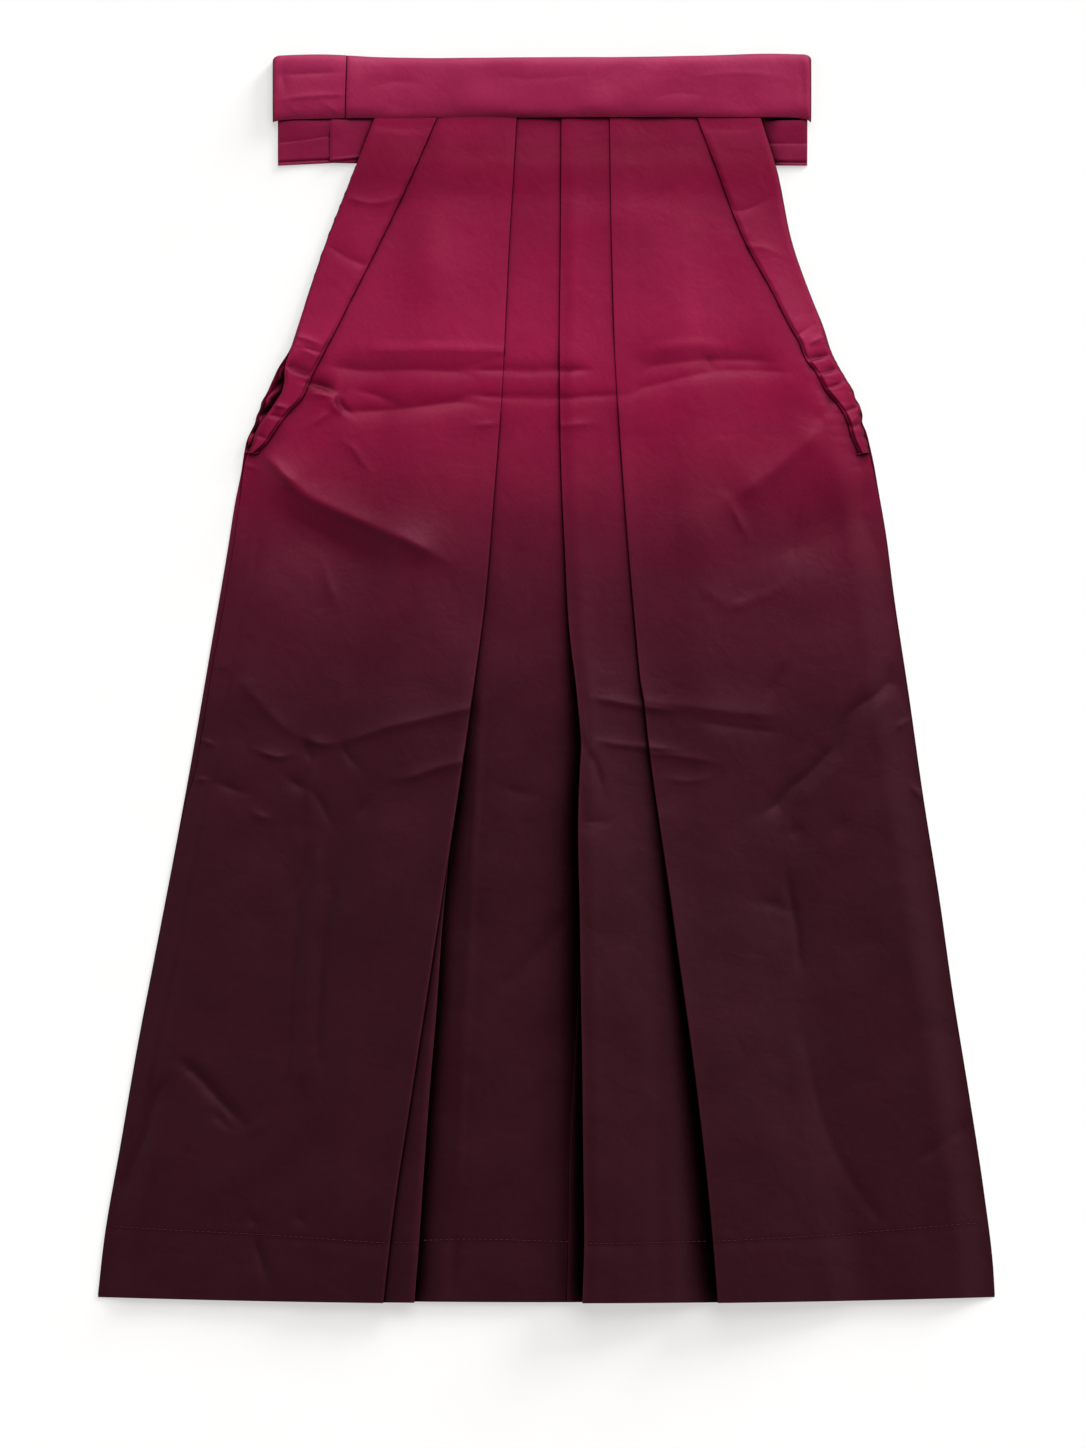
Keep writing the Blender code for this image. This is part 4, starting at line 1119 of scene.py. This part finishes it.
def belt_face(x, across):
    """The belt's face: swollen over the pleats and rolled at its head. Its foot comes down onto
    the tops of the panels."""
    height = BELT_HEIGHT + BELT_SWELL * swell(x)
    foot = (height - BELT_FOOT_HEIGHT(x)) * np.clip(1 - across, 0, 1) ** 9
    head = BELT_ROLL * np.clip(2 * across - 1, 0, 1) ** 7
    level = -across * BELT_WIDTH + 0 * x
    ripples = 0.25 * np.sin(x / 13 + 2 * across) + 0.15 * np.sin(x / 5.3 + 1)
    ripples = ripples + 0.2 * np.sin(x / 23 - 5 * across)
    ridges = ripples * smoothstep((x - BELT_SEAM) / 20) * (1 - 0.5 * across)
    ridges = (ridges + 1.3 * soft_waves(1.4 * x, 1.7 * level, 2.6)) * smoothstep(across / 0.2)
    from_seam = x - BELT_SEAM - SEAM_SLANT * (across - 0.5)
    seam = np.where(from_seam < -0.01, 0.1, -0.8) * np.exp(-np.abs(from_seam) / 1.2)
    marks = crease_height(BELT_CREASES, x, level)
    return height - foot - head + marks + ridges + seam


def belt_y(x, across):
    """Y on the belt. Its lower edge droops at its ends, and its upper corners are rounded."""
    wide, high = BELT_CORNER
    in_corner = np.clip(1 - np.minimum(x - BELT_LEFT, BELT_RIGHT - x) / wide, 0, 1)
    head = BELT_HEADS(x) - high * (1 - np.sqrt(1 - in_corner ** 2))
    return WAIST_Y + blend(-BELT_FEET(x), head, across)


def front_belt(name, start, end, stop, steps):
    rows = []
    for across in np.linspace(0, 1, 41):
        seam_x = start + SEAM_SLANT * (across - 0.5)
        x, z = wrapped_run(seam_x, end, stop, belt_face, BELT_FLOOR, across, steps)
        under = smoothstep((3.6 - z) / 2.6)
        rows.append((x, belt_y(x, blend(across, 0.08 + 0.92 * across, under)), z))
    x, y, z = (np.array(row) for row in zip(*rows))
    return cloth_sheet(name, x, y, z, BELT_SATIN, BELT_CLOTH)


def tie_folds():
    """The tie's length, folded to and fro in three layers inside the belt."""
    base, spacing, inset = 2.2, 2.0, 1.6
    path_x, path_z = [], []
    for layer in range(3):
        side = 1 if layer % 2 == 0 else -1
        ends = (BELT_LEFT + 6.4, BELT_RIGHT - 6.4)[::side]
        run = np.linspace(ends[0] + side * inset, ends[1] - side * inset, 40)
        run_z = base + layer * spacing + swell(run) * BELT_SWELL * (layer + 1) / 4
        path_x.append(run)
        path_z.append(run_z)
        if layer < 2:
            angles = np.linspace(-math.pi / 2, math.pi / 2, 7)[1:-1]
            path_x.append(run[-1] + side * spacing / 2 * np.cos(angles))
            path_z.append(run_z[-1] + spacing / 2 * (1 + np.sin(angles)))
    x = np.concatenate(path_x)[None, :]
    z = np.concatenate(path_z)[None, :]
    y = np.linspace(WAIST_Y + 4, WAIST_Y + BELT_WIDTH - 4, 3)[:, None]
    return cloth_sheet("front_tie_folds_cloth", x + 0 * y, y + 0 * x, z + 0 * y, BELT_SATIN, 0.8)


for piece, node, size in (
    (front_belt("front_belt_cloth", BELT_SEAM, BELT_RIGHT, UNDERSIDE_SEAM, 150), "front_belt", (0.61, 0.048)),
    (front_belt("front_belt_tie_cloth", BELT_SEAM - 0.03, BELT_LEFT, UNDERSIDE_SEAM - 0.3, 34),
     "front_belt_tie", (0.235, 0.048)),
    (tie_folds(), "front_tie_folds", (1.22, 0.04)),
):
    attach(piece, "root")
    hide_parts(node)


# ---------------------------------------------------------------------------
# The stitching
# The hems are stitched by machine with a thread a shade lighter than the cloth, and a
# bar tack closes each side opening. Each stitch lies along the surface below it.

STITCH_PITCH = 4.2
STITCH_LENGTH = 2.9
THREAD = 0.55
BAR_TACK = 1.0
# Along a stitch: how far along, how high off the cloth and how thick, as shares of its own.
STITCH_RINGS = ((0.0, -0.5, 0.35), (0.18, 0.1, 0.85), (0.5, 0.25, 1.0), (0.82, 0.1, 0.85), (1.0, -0.5, 0.35))


# Spun polyester sewing thread, matt and a little paler than the satin that it lies on.
def thread(name, hex_colour):
    material, tree, shader = new_material(name)
    place = add_node(tree, "ShaderNodeTexCoord").outputs["Object"]
    fibres = noise(tree, place, 1500.0, 1.0)
    tone = add_node(tree, "ShaderNodeValToRGB", {"Fac": fibres})
    tone.color_ramp.elements[0].color = [0.7 * c for c in linear(hex_colour)[:3]] + [1.0]
    tone.color_ramp.elements[1].color = linear(hex_colour)
    bump = add_node(tree, "ShaderNodeBump", {"Height": fibres, "Distance": 0.0001})
    fill_inputs(tree, shader, {
        "Base Color": tone.outputs["Color"],
        "Normal": bump.outputs["Normal"],
        "Roughness": 0.7,
        "Specular IOR Level": 0.15,
    })
    return material


HEM_THREAD = thread("spun_polyester_hem_thread", "#521E2A")
BAR_THREAD = thread("spun_polyester_bar_tack_thread", "#6C0A2C")


def stitch_row(name, stitches, material, width=THREAD):
    """A row of stitches: each is a rounded bar of thread from one needle hole to the next."""
    bm = bmesh.new()
    for start, end in stitches:
        start, end = np.array(start), np.array(end)
        length = np.linalg.norm(end - start)
        run = (end - start) / length
        beside = np.cross(run, (0, 0, 1.0))
        beside /= np.linalg.norm(beside)
        up = np.cross(beside, run)
        rings = []
        for t, sink, girth in STITCH_RINGS:
            middle = start + (end - start) * t + up * sink * width
            ring = [
                bm.verts.new((middle + girth * width / 2 * (beside * math.cos(a) + up * math.sin(a))) * MM)
                for a in np.linspace(0, 2 * math.pi, 7)[:-1]
            ]
            rings.append(ring)
        for near, far in zip(rings, rings[1:]):
            for i in range(6):
                bm.faces.new((near[i], near[(i + 1) % 6], far[(i + 1) % 6], far[i]))
        bm.faces.new(rings[0][::-1])
        bm.faces.new(rings[-1])
    bmesh.ops.recalc_face_normals(bm, faces=bm.faces)
    mesh = bpy.data.meshes.new(name)
    bm.to_mesh(mesh)
    bm.free()
    mesh.shade_smooth()
    mesh.materials.append(material)
    made = add_object(name, mesh)
    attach(made, "root")
    return made


def hem_stitches(name, face, start, end, short):
    """Stitches along the hem line, on the panel's own face."""
    def on_face(x):
        level = HEM_LINE(x)
        z = face(np.array([[x]]), np.array([[level]]))[0, 0]
        return (x, float(place_y(x, level, short) + drawn_up(z, level)), z + CLOTH / 2 + 0.1)

    places = np.arange(start, end - STITCH_LENGTH, STITCH_PITCH)
    return stitch_row(name, [(on_face(x), on_face(x + STITCH_LENGTH)) for x in places], HEM_THREAD)


hem_stitches("left_hem_stitches", left_panel.face, -333, -121, 0.0)
hem_stitches("left_inner_hem_stitches", left_inner.face, -117, -99, 0.5)
hem_stitches(
    "centre_hem_stitches", lambda x, v: pile_height([], x, v) + centre_rise(x, v), -95, 24, 2.0,
)
hem_stitches("centre_pleat_hem_stitches", centre_pleat.face, 32, 124, 0.5)
hem_stitches("right_hem_stitches", right_panel.face, 130, 334, 0.0)

for name, panel, ends in (
    ("left_bar_tack", left_panel, ((-229, 256), (-226, 259.5), (-221.5, 258.5))),
    ("right_bar_tack", right_panel, ((238.6, 260), (243.5, 259), (248.5, 256.5))),
):
    points = []
    for x, level in ends:
        z = panel.face(np.array([[float(x)]]), np.array([[float(level)]]))[0, 0]
        points.append((x, float(place_y(x, level, 0.0)), z + 1.2))
    stitch_row(name, list(zip(points, points[1:])), BAR_THREAD, BAR_TACK)


# ---------------------------------------------------------------------------
# The table, the light and the camera
# An opal table that glows a little, under one large softbox beyond the belt and a weak
# one at each side. The camera hangs overhead and looks straight down at the garment.

TABLE_SIZE = 8.0
TABLE_GLOW = 0.52
table_mesh = bpy.data.meshes.new("table")
bm = bmesh.new()
bmesh.ops.create_grid(bm, x_segments=2, y_segments=2, size=TABLE_SIZE)
bm.to_mesh(table_mesh)
bm.free()
table = add_object("table", table_mesh)
# Matt opal acrylic with a faint milky mottle, glowing evenly, so that it shows nearly white.
opal, opal_tree, opal_shader = new_material("matt_opal_acrylic")
mottle = add_node(opal_tree, "ShaderNodeTexNoise", {"Scale": 400.0, "Detail": 2.0})
mottled = add_node(opal_tree, "ShaderNodeValToRGB", {"Fac": mottle.outputs["Fac"]})
mottled.color_ramp.elements[0].color = linear("#969696")
mottled.color_ramp.elements[1].color = linear("#9A9A9A")
fill_inputs(opal_tree, opal_shader, {
    "Base Color": mottled.outputs["Color"],
    "Roughness": 1.0,
    "Specular IOR Level": 0.0,
    "Emission Color": linear("#FFFDFC"),
    "Emission Strength": TABLE_GLOW,
})
table_mesh.materials.append(opal)

SKIM_BEARING = 46.0
SKIM_ELEVATION = 10.0
SKIM_SPREAD = 18.0
SKIM_STRENGTH = 8.6
# Each lamp gives its direction (towards it), its spread in degrees and its strength.
LAMPS = (
    ("key softbox", (0.26, 0.80, 0.55), 60, 4.3),
    ("side softbox", (0.85, -0.05, 0.50), 50, 0.5),
    ("far side softbox", (-0.85, 0.10, 0.60), 50, 0.30),
)
for name, towards, spread, strength in LAMPS:
    light = bpy.data.lights.new(name, "SUN")
    light.angle = math.radians(spread)
    light.energy = strength
    lamp = add_object(name, light)
    lamp.rotation_euler = (
        math.atan2(math.hypot(towards[0], towards[1]), towards[2]),
        0.0,
        math.atan2(towards[1], towards[0]) + math.pi / 2,
    )

# A low lamp that only skims the table draws the soft shadow round the garment's edge.
skimming = bpy.data.lights.new("table skimmer", "SUN")
skimming.angle = math.radians(SKIM_SPREAD)
skimming.energy = SKIM_STRENGTH
skimmer = add_object("table skimmer", skimming)
skimmer.rotation_euler = (math.radians(90 - SKIM_ELEVATION), 0.0, math.radians(SKIM_BEARING + 90))
lit_by_it = bpy.data.collections.new("lit by the table skimmer")
lit_by_it.objects.link(table)
skimmer.light_linking.receiver_collection = lit_by_it

# The room is white round about, and darker overhead, where the camera hangs.
world = bpy.data.worlds.new("white studio")
world.use_nodes = True
sky = world.node_tree
towards_sky = add_node(sky, "ShaderNodeTexCoord").outputs["Generated"]
upward = add_node(sky, "ShaderNodeSeparateXYZ", {"Vector": towards_sky}).outputs["Z"]
overhead = rescaled(sky, upward, (0.45, 0.9), (0.42, 0.06), interpolation_type="SMOOTHSTEP")
fill_inputs(sky, sky.nodes["Background"], {"Color": (1.0, 1.0, 1.0, 1.0), "Strength": overhead})
bpy.context.scene.world = world
bpy.context.scene.view_settings.view_transform = "Standard"

CAMERA_AIM = (-2.7, -33.5)
CAMERA_HEIGHT = 2600.0
VIEW_HEIGHT = 1116.4
camera_data = bpy.data.cameras.new("overhead camera")
camera_data.sensor_width = 36.0
camera_data.lens = 36.0 * CAMERA_HEIGHT / VIEW_HEIGHT
camera = add_object("overhead camera", camera_data)
camera.location = (CAMERA_AIM[0] * MM, CAMERA_AIM[1] * MM, CAMERA_HEIGHT * MM)
bpy.context.scene.camera = camera
